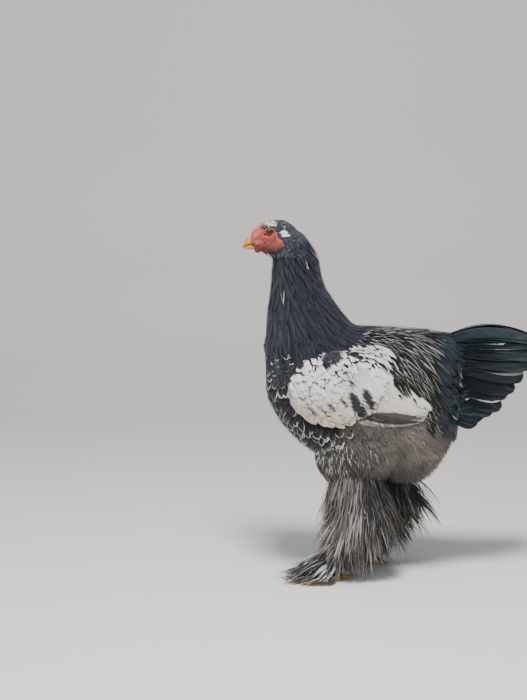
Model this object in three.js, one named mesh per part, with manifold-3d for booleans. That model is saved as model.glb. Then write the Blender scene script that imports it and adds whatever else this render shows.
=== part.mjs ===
// A young dark Brahma cockerel, life size, standing as a still model.
// Millimetres, +Z up. It faces -X with its left side towards -Y, and the origin is on the floor under the
// middle of its box. The body is a set of lofts, and the long feathers are thin vanes fused to their node.
import * as THREE from "three";
import Module from "manifold-3d";

const wasm = await Module();
wasm.setup();
const { Manifold } = wasm;

const V = (x, y, z) => new THREE.Vector3(x, y, z);
const SIDES = { left: -1, right: 1 };
const GAP = 0.5; // how much a neighbour is grown before it is cut away, which leaves 0.3 mm or more

// Colours of the plumage and the bare parts
const finish = (color, roughness, metalness = 0) =>
  new THREE.MeshStandardMaterial({ color, roughness, metalness });
const FINISH = {
  blackFeather: finish(0x23262e, 0.55),
  whiteFeather: finish(0xe6dccb, 0.75),
  greyFluff: finish(0x6f6862, 0.9),
  tailFeather: finish(0x1f2f33, 0.4),
  faceSkin: finish(0xb4493f, 0.6),
  horn: finish(0xd2a23c, 0.4),
  eye: finish(0x5a2a12, 0.1),
  toeSkin: finish(0xb98d3a, 0.6),
};

// Reads a table of [position, value, value...] as smooth curves: a cubic through every row
function smoothly(rows) {
  return (at) => {
    const last = rows.length - 1;
    let i = rows.findIndex((row) => row[0] > at) - 1;
    if (i < 0) i = at <= rows[0][0] ? 0 : last - 1;
    const row = (k) => rows[Math.min(Math.max(k, 0), last)];
    const [a, b, c, d] = [row(i - 1), row(i), row(i + 1), row(i + 2)];
    const span = c[0] - b[0];
    const u = Math.min(Math.max((at - b[0]) / span, 0), 1);
    return b.slice(1).map((_, k) => {
      const slope = (p, q) => (q[0] === p[0] ? 0 : (q[k + 1] - p[k + 1]) / (q[0] - p[0]));
      const start = slope(a, c) * span;
      const end = slope(b, d) * span;
      const rise = c[k + 1] - b[k + 1];
      return b[k + 1] + u * (start + u * (3 * rise - 2 * start - end + u * (start + end - 2 * rise)));
    });
  };
}

const mix = (a, b, t) => a + (b - a) * t;
const UPRIGHT = { around: 9, square: V(1, 0, 0) }; // for bars that run down

// A seeded draw, so that each feather differs a little and each build is the same
function seeded(seed) {
  let state = seed;
  return (low, high) => {
    state = (state * 1664525 + 1013904223) % 4294967296;
    return mix(low, high, state / 4294967296);
  };
}

// A closed solid from points and triangles, turned so that its faces point out
function solidOf(points, triangles) {
  const make = (faces) =>
    new Manifold(
      new wasm.Mesh({
        numProp: 3,
        vertProperties: new Float32Array(points.flatMap((p) => [p.x, p.y, p.z])),
        triVerts: new Uint32Array(faces.flat()),
      }),
    );
  const made = make(triangles);
  return made.volume() > 0 ? made : make(triangles.map(([a, b, c]) => [a, c, b]));
}

// Rings of equal count joined into a skin, each end closed by a fan to its own point
function skinned(rings, start, end) {
  const count = rings[0].length;
  const points = [...rings.flat(), start, end];
  const triangles = [];
  const [first, last] = [points.length - 2, points.length - 1];
  const tail = (rings.length - 1) * count;
  for (let k = 0; k < count; k++) {
    const next = (k + 1) % count;
    triangles.push([first, next, k], [last, tail + k, tail + next]);
    for (let i = 0; i < tail; i += count) {
      triangles.push([i + k, i + next, i + count + k], [i + next, i + count + next, i + count + k]);
    }
  }
  return solidOf(points, triangles);
}

// A loft whose sections lie across X or Z. Its stations crowd towards both round ends.
// Each row holds [station 0 to 1, high edge, low edge, half width, level of the widest place].
function loft(form, room = 0) {
  const { across, from, to, rows, stations, around, fullness = 2.2 } = form;
  const read = smoothly(rows);
  const place = (along, side, rise) => (across === "x" ? V(along, side, rise) : V(rise, side, along));
  const along = (t) => (from + to) / 2 - ((to - from) / 2) * Math.cos(Math.PI * t);
  const rings = [];
  for (let i = 1; i < stations; i++) {
    const t = i / stations;
    const [high, low, half, level] = read(t);
    rings.push(
      Array.from({ length: around }, (_, k) => {
        const angle = (2 * Math.PI * k) / around;
        const power = (v) => Math.sign(v) * Math.abs(v) ** (2 / fullness);
        const [c, s] = [power(Math.cos(angle)), power(Math.sin(angle))];
        const depth = s > 0 ? high - level : level - low;
        return place(along(t), (half + room) * c, level + (depth + room) * s);
      }),
    );
  }
  const growth = Math.sign(to - from) * room;
  return skinned(rings, place(from - growth, 0, read(0)[0]), place(to + growth, 0, read(1)[0]));
}

// An ellipsoid of few faces, turned about Y
function blob(centre, radii, { turn = 0, around = 8, rings = 5, room = 0 } = {}) {
  const shape = new THREE.Matrix4().compose(
    V(...centre),
    new THREE.Quaternion().setFromAxisAngle(V(0, 1, 0), turn),
    V(radii[0] + room, radii[1] + room, radii[2] + room),
  );
  const rows = Array.from({ length: rings }, (_, i) => {
    const polar = (Math.PI * (i + 1)) / (rings + 1);
    return Array.from({ length: around }, (_, k) => {
      const angle = (2 * Math.PI * k) / around;
      const wide = Math.sin(polar);
      return V(wide * Math.cos(angle), wide * Math.sin(angle), Math.cos(polar)).applyMatrix4(shape);
    });
  });
  return skinned(rows, V(0, 0, 1).applyMatrix4(shape), V(0, 0, -1).applyMatrix4(shape));
}

// A round bar through a list of [x, y, z, radius], kept above the floor. It never runs along its square.
function bar(stops, { around = 8, room = 0, floor = -Infinity, square = V(0, 0, 1) } = {}) {
  const points = stops.map(([x, y, z]) => V(x, y, z));
  const rings = points.map((p, i) => {
    const way = points[Math.min(i + 1, points.length - 1)].clone().sub(points[Math.max(i - 1, 0)]).normalize();
    const side = square.clone().cross(way).normalize();
    const up = way.clone().cross(side);
    return Array.from({ length: around }, (_, k) => {
      const angle = (2 * Math.PI * (k + 0.5)) / around;
      const r = stops[i][3] + room;
      const q = p.clone().addScaledVector(side, r * Math.cos(angle)).addScaledVector(up, r * Math.sin(angle));
      return q.setZ(Math.max(q.z, floor));
    });
  });
  const end = (i, j) => points[i].clone().lerp(points[j], -0.02).setZ(Math.max(points[i].z, floor + 1));
  return skinned(rings, end(0, 1), end(points.length - 1, points.length - 2));
}

const join = (pieces) => Manifold.union(pieces);

const THINNEST = 0.006; // triangles lower than this are slivers that a cut has left

// The height of a triangle over its longest side, and that side's place among its three
function height(a, b, c) {
  const lengths = [a.distanceTo(b), b.distanceTo(c), c.distanceTo(a)];
  const longest = Math.max(...lengths);
  const twiceArea = b.clone().sub(a).cross(c.clone().sub(a)).length();
  return [twiceArea / Math.max(longest, 1e-9), lengths.indexOf(longest)];
}

// Turns the long side of each sliver whose far corner all but lies on it, so that the next triangle takes it up
function withoutCaps(solid) {
  const { vertProperties, triVerts, numProp } = solid.getMesh();
  const faces = Array.from({ length: triVerts.length / 3 }, (_, i) => [...triVerts.slice(3 * i, 3 * i + 3)]);
  const at = (k) => V(...vertProperties.slice(k * numProp, k * numProp + 3));
  let least = Infinity;
  for (let pass = 0; pass < 8; pass++) {
    const beside = new Map();
    faces.forEach((face, i) => face.forEach((a, k) => beside.set(a + "," + face[(k + 1) % 3], [i, face[(k + 2) % 3]])));
    const done = new Set();
    least = Infinity;
    faces.forEach((face, i) => {
      const [low, side] = height(...face.map(at));
      least = Math.min(least, low);
      if (low > THINNEST || done.has(i)) return;
      const [a, b, c] = [face[side], face[(side + 1) % 3], face[(side + 2) % 3]];
      const [other, d] = beside.get(b + "," + a);
      if (done.has(other) || beside.has(c + "," + d) || beside.has(d + "," + c)) return;
      faces[i] = [a, d, c];
      faces[other] = [d, b, c];
      done.add(i).add(other);
    });
    if (!done.size) break;
  }
  const mesh = new wasm.Mesh({ numProp, vertProperties, triVerts: new Uint32Array(faces.flat()) });
  return { solid: new Manifold(mesh), least };
}

// The largest closed surface of a solid, with any scrap left out and the slivers of its cuts closed up
function whole(solid) {
  const largest = (made) => made.decompose().reduce((a, b) => (a.volume() > b.volume() ? a : b));
  const outer = largest(solid);
  let best = { solid: outer, least: 0 };
  for (const reach of [0.02, 0.04, 0.06, 0.08, 0.1]) {
    const tried = withoutCaps(largest(outer.simplify(reach)));
    if (tried.least > best.least) best = tried;
    if (best.least > THINNEST) break;
  }
  return best.solid;
}

// How far a point is outside a loft, about, measured in the plane of its section
function outsideLoft(form) {
  const { across, from, to, rows, fullness = 2.2 } = form;
  const read = smoothly(rows);
  return (p) => {
    const [along, rise] = across === "x" ? [p.x, p.z] : [p.z, p.x];
    const u = ((from + to) / 2 - along) / ((to - from) / 2);
    const [high, low, half, level] = read(Math.acos(Math.min(Math.max(u, -0.995), 0.995)) / Math.PI);
    const depth = Math.abs(rise > level ? high - level : level - low);
    const size = (Math.abs(p.y / half) ** fullness + Math.abs((rise - level) / depth) ** fullness) ** (1 / fullness);
    const beyond = Math.max(Math.abs(u) - 1, 0) * Math.abs(to - from) / 2;
    const reach = Math.hypot(p.y, rise - level);
    return (size < 0.05 ? -Math.min(half, depth) : reach - reach / size) + beyond;
  };
}

// How far a point is outside an ellipsoid, about
const outsideBlob = (centre, radii) => (p) => {
  const q = V((p.x - centre[0]) / radii[0], (p.y - centre[1]) / radii[1], (p.z - centre[2]) / radii[2]);
  return (q.length() - 1) * Math.min(...radii);
};

const nearest = (...fields) => (p) => Math.min(...fields.map((field) => field(p)));

// The slope of a field: its length turns the field's value into a distance
function slopeOf(field, p) {
  const step = 0.8;
  const along = (axis) =>
    (field(p.clone().addScaledVector(axis, step)) - field(p.clone().addScaledVector(axis, -step))) / (2 * step);
  return V(along(V(1, 0, 0)), along(V(0, 1, 0)), along(V(0, 0, 1)));
}

// Where a line from inside a field first leaves it
function surfacePoint(field, inside, way) {
  const at = (s) => inside.clone().addScaledVector(way.clone().normalize(), s);
  let [low, high] = [0, 0];
  while (field(at(high)) < 0 && high < 300) high += 4;
  low = high - 4;
  for (let i = 0; i < 12; i++) {
    const middle = (low + high) / 2;
    if (field(at(middle)) < 0) low = middle;
    else high = middle;
  }
  return at(high);
}

// Stops along a feather from 0 to 1, closer together towards its rounded tip
const stopsAlong = (steps) => Array.from({ length: steps + 1 }, (_, i) => 1 - (1 - i / steps) ** 1.6);

// A path that runs over a field's surface, with the way up and the way across at each stop
function drape(field, root, heading, length, steps) {
  const path = [];
  const stops = stopsAlong(steps);
  let p = root.clone();
  for (let i = 0; i <= steps; i++) {
    const slope = slopeOf(field, p);
    const up = slope.clone().normalize();
    const way = heading.clone().addScaledVector(up, -heading.dot(up)).normalize();
    path.push({ s: stops[i], point: p.clone(), up, across: up.clone().cross(way) });
    p.addScaledVector(way, length * ((stops[i + 1] ?? 1) - stops[i]));
    const off = field(p) / Math.max(slopeOf(field, p).length(), 0.3);
    p.addScaledVector(up, -Math.min(Math.max(off, -12), 12));
  }
  return path;
}

// A free path that bows from a root to a tip, with one way up
function bowed(root, tip, bow, up, steps) {
  const way = tip.clone().sub(root).normalize();
  const level = up.clone().addScaledVector(way, -up.dot(way)).normalize();
  return stopsAlong(steps).map((s) => {
    const point = root.clone().lerp(tip, s).addScaledVector(bow, 4 * s * (1 - s));
    return { s, point, up: level, across: level.clone().cross(way) };
  });
}

// A feather's vane: a thin plate along a path, split alike on both faces, ending in a blunt point.
// It starts sunk in its root and rises towards the tip. A ridge gives a wide one its quill and camber.
// Its roll tucks one edge under the next feather of its row, as shingles lie.
function vane(path, { width, thick = 0.9, sink = 2, rise = 4, ridge = 0, roll = 0, tip = 0.5, root = 0.55, room = 0 }) {
  const last = path.length - 1;
  const rows = path.slice(0, last).map(({ s, point, up, across }) => {
    const taper = s > 0.6 ? mix(1, tip, (s - 0.6) / 0.3) : 1;
    const half = (width / 2) * mix(root, 1, Math.min(s / 0.45, 1)) * taper + room;
    const middle = point.clone().addScaledVector(up, mix(-sink, rise, s ** 0.8));
    const place = (side, lift) => middle.clone().addScaledVector(across, side).addScaledVector(up, lift + side * roll);
    const low = -thick / 2 - room;
    const high = thick / 2 + room;
    return ridge
      ? { top: [place(-half, high), place(0, high + ridge), place(half, high)], under: [place(-half, low), place(0, low + ridge), place(half, low)] }
      : { top: [place(-half, high), place(half, high)], under: [place(-half, low), place(half, low)] };
  });
  const end = path[last].point.clone().addScaledVector(path[last].up, rise);
  const wide = rows[0].top.length;
  const points = [...rows.flatMap(({ top, under }) => [...top, ...under]), end];
  const pole = points.length - 1;
  const at = (i, j) => i * 2 * wide + j;
  const triangles = [];
  for (let i = 0; i < rows.length - 1; i++) {
    for (let j = 0; j < wide - 1; j++) {
      const cell = [at(i, j), at(i, j + 1), at(i + 1, j), at(i + 1, j + 1)];
      triangles.push([cell[0], cell[1], cell[2]], [cell[1], cell[3], cell[2]]);
      const [a, b, c, d] = cell.map((k) => k + wide);
      triangles.push([a, c, b], [b, c, d]);
    }
    const edge = (j, turned) => {
      const [a, b, c, d] = [at(i, j), at(i, j + wide), at(i + 1, j), at(i + 1, j + wide)];
      triangles.push(turned ? [a, c, b] : [a, b, c], turned ? [b, c, d] : [b, d, c]);
    };
    edge(0, true);
    edge(wide - 1, false);
  }
  const near = rows.length - 1;
  for (let j = 0; j < wide - 1; j++) {
    triangles.push([at(0, j), at(0, j + wide), at(0, j + 1)], [at(0, j + 1), at(0, j + wide), at(0, j + 1 + wide)]);
    triangles.push([at(near, j), at(near, j + 1), pole], [at(near, j + 1 + wide), at(near, j + wide), pole]);
  }
  triangles.push([at(near, wide), at(near, 0), pole], [at(near, wide - 1), at(near, 2 * wide - 1), pole]);
  return solidOf(points, triangles);
}

// The torso from the breast to the rump, with the belly's fluff
const TORSO = {
  across: "x",
  from: -220,
  to: 118,
  stations: 18,
  around: 20,
  rows: [
    [0, 362, 362, 0, 362],
    [0.1, 395, 312, 38, 355],
    [0.2, 418, 268, 66, 345],
    [0.3, 430, 230, 84, 335],
    [0.4, 435, 202, 92, 325],
    [0.5, 436, 186, 94, 318],
    [0.6, 435, 173, 92, 312],
    [0.7, 432, 176, 84, 312],
    [0.8, 426, 207, 68, 322],
    [0.9, 408, 252, 44, 335],
    [1, 345, 345, 0, 345],
  ],
};

// The neck from inside the breast to inside the head. High is its back edge and low its front edge.
const NECK = {
  across: "z",
  from: 372,
  to: 606,
  stations: 9,
  around: 14,
  rows: [
    [0, -140, -140, 0, -140],
    [0.18, -48, -214, 70, -130],
    [0.32, -58, -214, 68, -138],
    [0.42, -84, -212, 58, -150],
    [0.5, -105, -209, 47, -158],
    [0.58, -120, -206, 41, -164],
    [0.7, -128, -206, 36, -168],
    [0.8, -141, -211, 31, -177],
    [0.9, -156, -208, 24, -184],
    [1, -184, -184, 0, -184],
  ],
};

// The head from the beak's root to the back of the skull
const HEAD = {
  across: "x",
  from: -246,
  to: -157,
  stations: 12,
  around: 16,
  rows: [
    [0, 588, 588, 0, 588],
    [0.15, 599, 577, 9.5, 588],
    [0.3, 611, 569, 14.5, 590],
    [0.45, 621, 560, 19.5, 591],
    [0.6, 622, 556, 22.5, 592],
    [0.75, 612, 558, 21, 590],
    [0.9, 599, 570, 13, 587],
    [1, 586, 586, 0, 586],
  ],
};

// The legs. The left one stands ahead of the right one.
const LEGS = {
  left: { thigh: -62, hock: -42, foot: -96 },
  right: { thigh: -26, hock: 6, foot: -34 },
};
const THIGH = { y: 51, z: 226, radii: [70, 42, 68] };
const SHANK = { hockY: 55, hockZ: 150, footY: 57, footZ: 17, end: 14.3 };

// The folded wing's shoulder, an egg pressed on the torso's flank, and the rump that carries the tail
const WING = { centre: [-96, 80, 345], radii: [84, 20, 58] };
const RUMP = { centre: [96, 0, 372], radii: [52, 34, 46] };

const thighCore = (side, room = 0) =>
  blob([LEGS[side].thigh, SIDES[side] * THIGH.y, THIGH.z], THIGH.radii, { around: 14, rings: 6, room });
const wingCore = (side, room = 0) =>
  blob([WING.centre[0], SIDES[side] * WING.centre[1], WING.centre[2]], WING.radii, { around: 16, rings: 6, room });

const torsoField = outsideLoft(TORSO);
const neckField = outsideLoft(NECK);
const wingField = (side) =>
  outsideBlob([WING.centre[0], SIDES[side] * WING.centre[1], WING.centre[2]], WING.radii);
const thighField = (side) =>
  outsideBlob([LEGS[side].thigh, SIDES[side] * THIGH.y, THIGH.z], THIGH.radii);
const bodyField = nearest(torsoField, neckField, wingField("left"), wingField("right"), outsideBlob(RUMP.centre, RUMP.radii));

// Neck hackle: pointed feathers in tiers, all round the neck, the lowest over the shoulders
function hackle(room = 0) {
  const draw = seeded(7);
  const tiers = [
    { z: 561, count: 7, length: 46, width: 22 },
    { z: 532, count: 8, length: 58, width: 24 },
    { z: 500, count: 8, length: 70, width: 30 },
    { z: 460, count: 9, length: 82, width: 37 },
  ];
  const field = nearest(neckField, torsoField);
  const readNeck = smoothly(NECK.rows);
  return tiers.flatMap(({ z, count, length, width }, tier) =>
    Array.from({ length: count }, (_, k) => {
      const angle = (2 * Math.PI * (k + 0.5 * (tier % 2))) / count;
      const u = ((NECK.from + NECK.to) / 2 - z) / ((NECK.to - NECK.from) / 2);
      const axis = readNeck(Math.acos(u) / Math.PI)[3];
      const root = surfacePoint(field, V(axis, 0, z), V(-Math.cos(angle), Math.sin(angle), 0));
      const back = 0.12 + 0.16 * (1 - Math.cos(angle));
      const path = drape(field, root, V(back, 0.1 * Math.sin(angle), -1), length + draw(-4, 4), 3);
      return vane(path, { width, rise: 4.2, roll: 0.12, tip: 0.4, room });
    }),
  );
}

// Saddle: feathers in tiers over the back that droop over the rear of the folded wings and the tail's root
function saddle(room = 0) {
  const draw = seeded(11);
  const tiers = [
    { x: -20, count: 4, length: 62, width: 31 },
    { x: 14, count: 5, length: 74, width: 30 },
    { x: 50, count: 5, length: 80, width: 29 },
  ];
  return tiers.flatMap(({ x, count, length, width }, tier) =>
    Array.from({ length: 2 * count }, (_, k) => {
      const side = k % 2 ? 1 : -1;
      const spread = (Math.floor(k / 2) + (tier % 2 ? 0.15 : 0.45)) / count;
      const angle = side * spread * 1.15;
      const root = surfacePoint(bodyField, V(x, 0, 335), V(0, Math.sin(angle), Math.cos(angle)));
      const heading = V(1, side * 0.35 * spread, -0.12 - 0.75 * spread);
      const path = drape(bodyField, root, heading, length + draw(-5, 5), 3);
      return vane(path, { width, rise: mix(4.5, 8, spread), roll: side * 0.12, tip: 0.45, room });
    }),
  );
}

// One wing's feathers, from the lowest layer to the highest: primaries, secondaries and two rows of coverts.
// Each row runs from its lowest feather to its highest. Places are X and Z on the flank.
const WING_ROWS = [
  { count: 4, root: [-112, 296, -96, 306], tip: [34, 279, 60, 289], width: 20, lift: [1.5, 3], ridge: 0, steps: 4 },
  { count: 6, root: [-92, 304, -40, 384], tip: [40, 286, 70, 336], width: 32, lift: [4.5, 8], ridge: 0.7, steps: 3 },
  { count: 5, root: [-118, 312, -62, 390], tip: [-44, 300, -2, 372], width: 31, lift: [4, 6], ridge: 0, steps: 3 },
  { count: 4, root: [-140, 326, -90, 394], tip: [-88, 312, -44, 384], width: 32, lift: [3, 4.4], ridge: 0, steps: 3 },
];

function wingVanes(side, room = 0) {
  const sign = SIDES[side];
  const field = nearest(torsoField, wingField(side));
  const draw = seeded(19);
  return WING_ROWS.flatMap(({ count, root, tip, width, lift, ridge, steps }) =>
    Array.from({ length: count }, (_, k) => {
      const s = k / (count - 1);
      const start = V(mix(root[0], root[2], s), 0, mix(root[1], root[3], s));
      const end = V(mix(tip[0], tip[2], s) + draw(-2, 2), 0, mix(tip[1], tip[3], s));
      const way = end.clone().sub(start);
      const path = drape(field, surfacePoint(field, start, V(0, sign, 0)), way, way.length(), steps);
      return vane(path, { width, ridge, rise: mix(lift[0], lift[1], s), roll: sign * 0.12, tip: 0.5, room });
    }),
  );
}

// Tail: seven main feathers a side, broad and rounded, under shorter coverts. They stand as a steep roof.
function tailVanes(room = 0) {
  const mains = smoothly([
    [0, 258, 421, 7, 0.45],
    [1, 256, 398, 22, 0.7],
    [2, 243, 370, 34, 0.9],
    [3, 222, 342, 43, 1.05],
    [4, 198, 314, 49, 1.15],
    [5, 169, 291, 52, 1.2],
    [6, 146, 273, 50, 1.2],
  ]);
  const rows = [
    { count: 7, first: 0, pace: 1, reach: 1, width: 42, out: 0, steps: 4 },
    { count: 3, first: 0.5, pace: 1.7, reach: 0.76, width: 48, out: 5, steps: 3 },
    { count: 2, first: 1.2, pace: 2.6, reach: 0.56, width: 50, out: 9, steps: 3 },
  ];
  return rows.flatMap(({ count, first, pace, reach, width, out, steps }) =>
    [-1, 1].flatMap((sign) =>
      Array.from({ length: count }, (_, k) => {
        const order = first + pace * k;
        const [x, z, y, lean] = mains(Math.min(order, 6));
        const root = V(92 + 2 * order, sign * (5 + 3.4 * order), 402 - 11 * order);
        const tip = V(x, sign * (y + (sign > 0 ? 1.5 : 0)), z);
        const end = root.clone().lerp(tip, reach);
        const up = V(0, sign * Math.sin(lean), Math.cos(lean));
        end.addScaledVector(up, out);
        const path = bowed(root, end, V(0, sign * 2, 7 * reach), up, steps);
        const size = width - 0.9 * order;
        return vane(path, { width: size, sink: 0, rise: 0, ridge: 1.1, roll: sign * 0.1, tip: 0.75, root: 0.4, room });
      }),
    ),
  );
}

// Boots: the shank's feathers in four tiers all round, flared out and down
const shankStops = (side) => {
  const { hock, foot } = LEGS[side];
  const sign = SIDES[side];
  return [
    [hock + 4, sign * (SHANK.hockY - 2), 186, 13],
    [hock, sign * SHANK.hockY, SHANK.hockZ, 12],
    [mix(hock, foot, 0.35), sign * (SHANK.hockY + 1), mix(SHANK.hockZ, SHANK.footZ, 0.35), 9.5],
    [mix(hock, foot, 0.8), sign * SHANK.footY, mix(SHANK.hockZ, SHANK.footZ, 0.8), 9],
    [foot + 2, sign * SHANK.footY, SHANK.footZ - 10, 9],
  ];
};

function bootVanes(side, room = 0) {
  const draw = seeded(side === "left" ? 23 : 29);
  const { hock, foot } = LEGS[side];
  const sign = SIDES[side];
  const tiers = [
    { z: 156, count: 6, length: 88, flare: 0.78, width: 40 },
    { z: 128, count: 6, length: 84, flare: 0.74, width: 38 },
    { z: 96, count: 5, length: 72, flare: 0.7, width: 38 },
    { z: 62, count: 4, length: 50, flare: 0.66, width: 34 },
  ];
  return tiers.flatMap(({ z, count, length, flare, width }, tier) =>
    Array.from({ length: count }, (_, k) => {
      const angle = (2 * Math.PI * (k + 0.5 * (tier % 2))) / count;
      const s = (SHANK.hockZ - z) / (SHANK.hockZ - SHANK.footZ);
      const axis = V(mix(hock, foot, s), sign * SHANK.hockY, z);
      const out = V(Math.cos(angle), Math.sin(angle), 0);
      const root = axis.clone().addScaledVector(out, 5);
      const aside = out.y * sign < 0 ? 0.6 : 0.72;
      const drop = V(out.x * flare + 0.05, out.y * flare * aside, -1).normalize();
      const tip = root.clone().addScaledVector(drop, length + draw(-5, 5));
      const path = bowed(root, tip, out.clone().multiplyScalar(5), out.clone().setZ(0.5).normalize(), 3);
      return vane(path, { width, sink: 0, rise: 0, roll: 0.15, tip: 0.45, root: 0.35, room });
    }),
  );
}

// The thigh's rear and outer feathers, two tiers that hang over the hock
function thighVanes(side, room = 0) {
  const draw = seeded(31);
  const field = thighField(side);
  const sign = SIDES[side];
  const tiers = [
    { z: 222, count: 5, length: 56, from: -2.3, to: 1.6, width: 36 },
    { z: 192, count: 4, length: 50, from: -1.9, to: 1.3, width: 36 },
  ];
  return tiers.flatMap(({ z, count, length, from, to, width }) =>
    Array.from({ length: count }, (_, k) => {
      const angle = mix(from, to, k / (count - 1));
      const inside = V(LEGS[side].thigh, sign * THIGH.y, z);
      const root = surfacePoint(field, inside, V(Math.cos(angle), -sign * Math.sin(angle), 0));
      const path = drape(field, root, V(0.35, 0, -1), length + draw(-4, 4), 3);
      return vane(path, { width, rise: 4.5, roll: sign * 0.12, tip: 0.4, room });
    }),
  );
}

// Toes spread from the pad: [heading from straight ahead in radians, length, radius, count of scutes]
const TOES = {
  middle: { turn: 0, length: 74, radius: 5.6, scutes: 5 },
  inner: { turn: 0.62, length: 58, radius: 5.2, scutes: 4 },
  outer: { turn: -0.6, length: 62, radius: 5.2, scutes: 0 },
  hind: { turn: Math.PI - 0.35, length: 30, radius: 4.6, scutes: 0 },
};

// A toe's way over the floor. The inner one turns towards the bird's middle.
function toeWay(side, { turn }) {
  return V(-Math.cos(turn), -SIDES[side] * Math.sin(turn), 0);
}

const footPad = (side) => V(LEGS[side].foot, SIDES[side] * SHANK.footY, 0);

// A toe as a bar with a saw-tooth back where it has scutes. Its end is where the claw meets it.
function toe(side, form, room = 0) {
  const way = toeWay(side, form);
  const start = footPad(side);
  const rows = Math.max(form.scutes * 2, 3);
  const stops = Array.from({ length: rows + 1 }, (_, i) => {
    const s = mix(0.08, 1, i / rows);
    const r = mix(form.radius, form.radius * 0.68, s) + (form.scutes && i % 2 ? 0.7 : 0);
    const p = start.clone().addScaledVector(way, form.length * s);
    return [p.x, p.y, mix(form.radius, form.radius * 0.68, s) - 0.9 + 3.5 * (1 - s) ** 2, r];
  });
  return bar(stops, { around: 6, room });
}

// A claw: a curved hook that meets the toe's end face and bears on nothing
function claw(side, form, room = 0) {
  const way = toeWay(side, form);
  const at = (s, z, r) => {
    const p = footPad(side).addScaledVector(way, form.length + s);
    return [p.x, p.y, z, r];
  };
  const r = form.radius * 0.62;
  return bar([at(-4, r + 0.4, r), at(0.35, r + 0.4, r), at(5, r + 0.8, r * 0.8), at(10, r * 0.7 + 0.3, r * 0.5), at(14, 1.3, 0.9)], {
    around: 8,
    room,
    floor: 0.4,
  });
}

// Toe feathers: vanes that spread ahead and outwards from the outer and middle toes
function toeVanes(side, room = 0) {
  const draw = seeded(37);
  const sign = SIDES[side];
  return Array.from({ length: 6 }, (_, k) => {
    const s = k / 5;
    const base = k % 2 ? TOES.middle : TOES.outer;
    const along = base.length * mix(0.25, 0.75, (k % 4) / 3);
    const root = footPad(side).addScaledVector(toeWay(side, base), along).setZ(5);
    const turn = mix(-0.15, 1.25, s);
    const out = V(-Math.cos(turn), sign * Math.sin(turn), 0);
    const tip = root.clone().addScaledVector(out, mix(52, 42, s) + draw(-3, 3)).setZ(6 + draw(4, 22) * (1 - 0.5 * s));
    const up = V(0, 0, 1).addScaledVector(out, 0.2).normalize();
    return vane(bowed(root, tip, V(0, 0, 9), up, 3), { width: 21, sink: 0, rise: 0, tip: 0.45, room });
  });
}

// The head's own parts, all placed from the eye, the beak's root and the skull's loft
const EYE = { x: -210.5, y: 17.2, z: 604, radius: 6.3 };
const BEAK_FACE = -241;
const FACE_PLANE = { normal: V(-0.35, 0, 0.937).normalize(), point: V(-184, 0, 572) };

const eyeball = (side, room = 0) =>
  blob([EYE.x, SIDES[side] * EYE.y, EYE.z], [EYE.radius, EYE.radius - 0.6, EYE.radius], { around: 12, rings: 6, room });

// A ring of lid round the eye, a bar bent into a closed loop and open at the eye
function lid(side) {
  const sign = SIDES[side];
  const stops = Array.from({ length: 13 }, (_, k) => {
    const angle = (2 * Math.PI * k) / 12 + 0.2;
    const wide = 1 + 0.12 * Math.cos(2 * angle);
    return [EYE.x + 8.4 * wide * Math.cos(angle), sign * (EYE.y + 2.7), EYE.z + 8 * Math.sin(angle), 1.5];
  });
  return bar(stops, { around: 5, square: V(0, 1, 0) });
}

// The pea comb: three low rows of beads from the beak's root to the brow
function comb() {
  const draw = seeded(41);
  return [-1, 0, 1].flatMap((row) =>
    Array.from({ length: row ? 4 : 5 }, (_, k) => {
      const s = k / (row ? 3 : 4);
      const x = mix(-239, -221, s);
      const z = mix(602.5, 616, s) - (row ? 3.2 : 0);
      const r = (row ? 2.7 : 3.8) * draw(0.88, 1.12);
      return blob([x, row * 4.2, z], [r * 1.1, r * 0.85, r], { turn: 0.7, around: 6, rings: 2 });
    }),
  );
}

function headBlank(room = 0) {
  const { normal, point } = FACE_PLANE;
  const skull = loft(HEAD, room).add(loft(NECK, room - 1));
  return skull.trimByPlane([normal.x, normal.y, normal.z], normal.dot(point) + 0.18 - room);
}

// Ear coverts: a tuft of short white feathers over the ear
function earTuft(side) {
  const sign = SIDES[side];
  return Array.from({ length: 5 }, (_, k) => {
    const s = k / 4;
    const root = V(-194 + 2 * s, sign * 19, mix(606, 590, s));
    const tip = root.clone().add(V(mix(12, 15, s), sign * 4.5, mix(-2, -11, s)));
    return vane(bowed(root, tip, V(0, sign * 1.5, 0), V(0, sign, 0.2), 2), { width: 8.5, sink: 0, rise: 0, tip: 0.6 });
  });
}

// The red earlobe, which hangs over the neck's top
const lobe = (sign, room = 0) =>
  blob([-192.5, sign * 20, 585], [6, 3, 8], { turn: -0.3, around: 8, rings: 3, room });

function headSolid() {
  const flesh = [-1, 1].flatMap((sign) => [
    blob([-231, sign * 6.5, 573], [6.5, 2.6, 9], { turn: 0.25, around: 8, rings: 4 }),
    lobe(sign),
    blob([-209, sign * 15.5, 612], [12, 4.6, 3.4], { turn: -0.1, around: 8, rings: 3 }),
    blob([-214, sign * 15, 592], [13, 5.5, 5.5], { turn: 0.2, around: 8, rings: 3 }),
  ]);
  let head = join([headBlank(), ...flesh]).trimByPlane([1, 0, 0], BEAK_FACE + 0.3);
  for (const side of ["left", "right"]) {
    head = head.subtract(eyeball(side, 0.4));
    const gape = bar(
      [
        [-246, SIDES[side] * 7.6, 582, 0.75],
        [-236, SIDES[side] * 12.4, 581, 0.75],
        [-227, SIDES[side] * 16.8, 578.5, 0.7],
      ],
      { around: 6 },
    );
    head = join([head.subtract(gape), lid(side), ...earTuft(side)]);
  }
  return join([head, ...comb()]);
}

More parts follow.
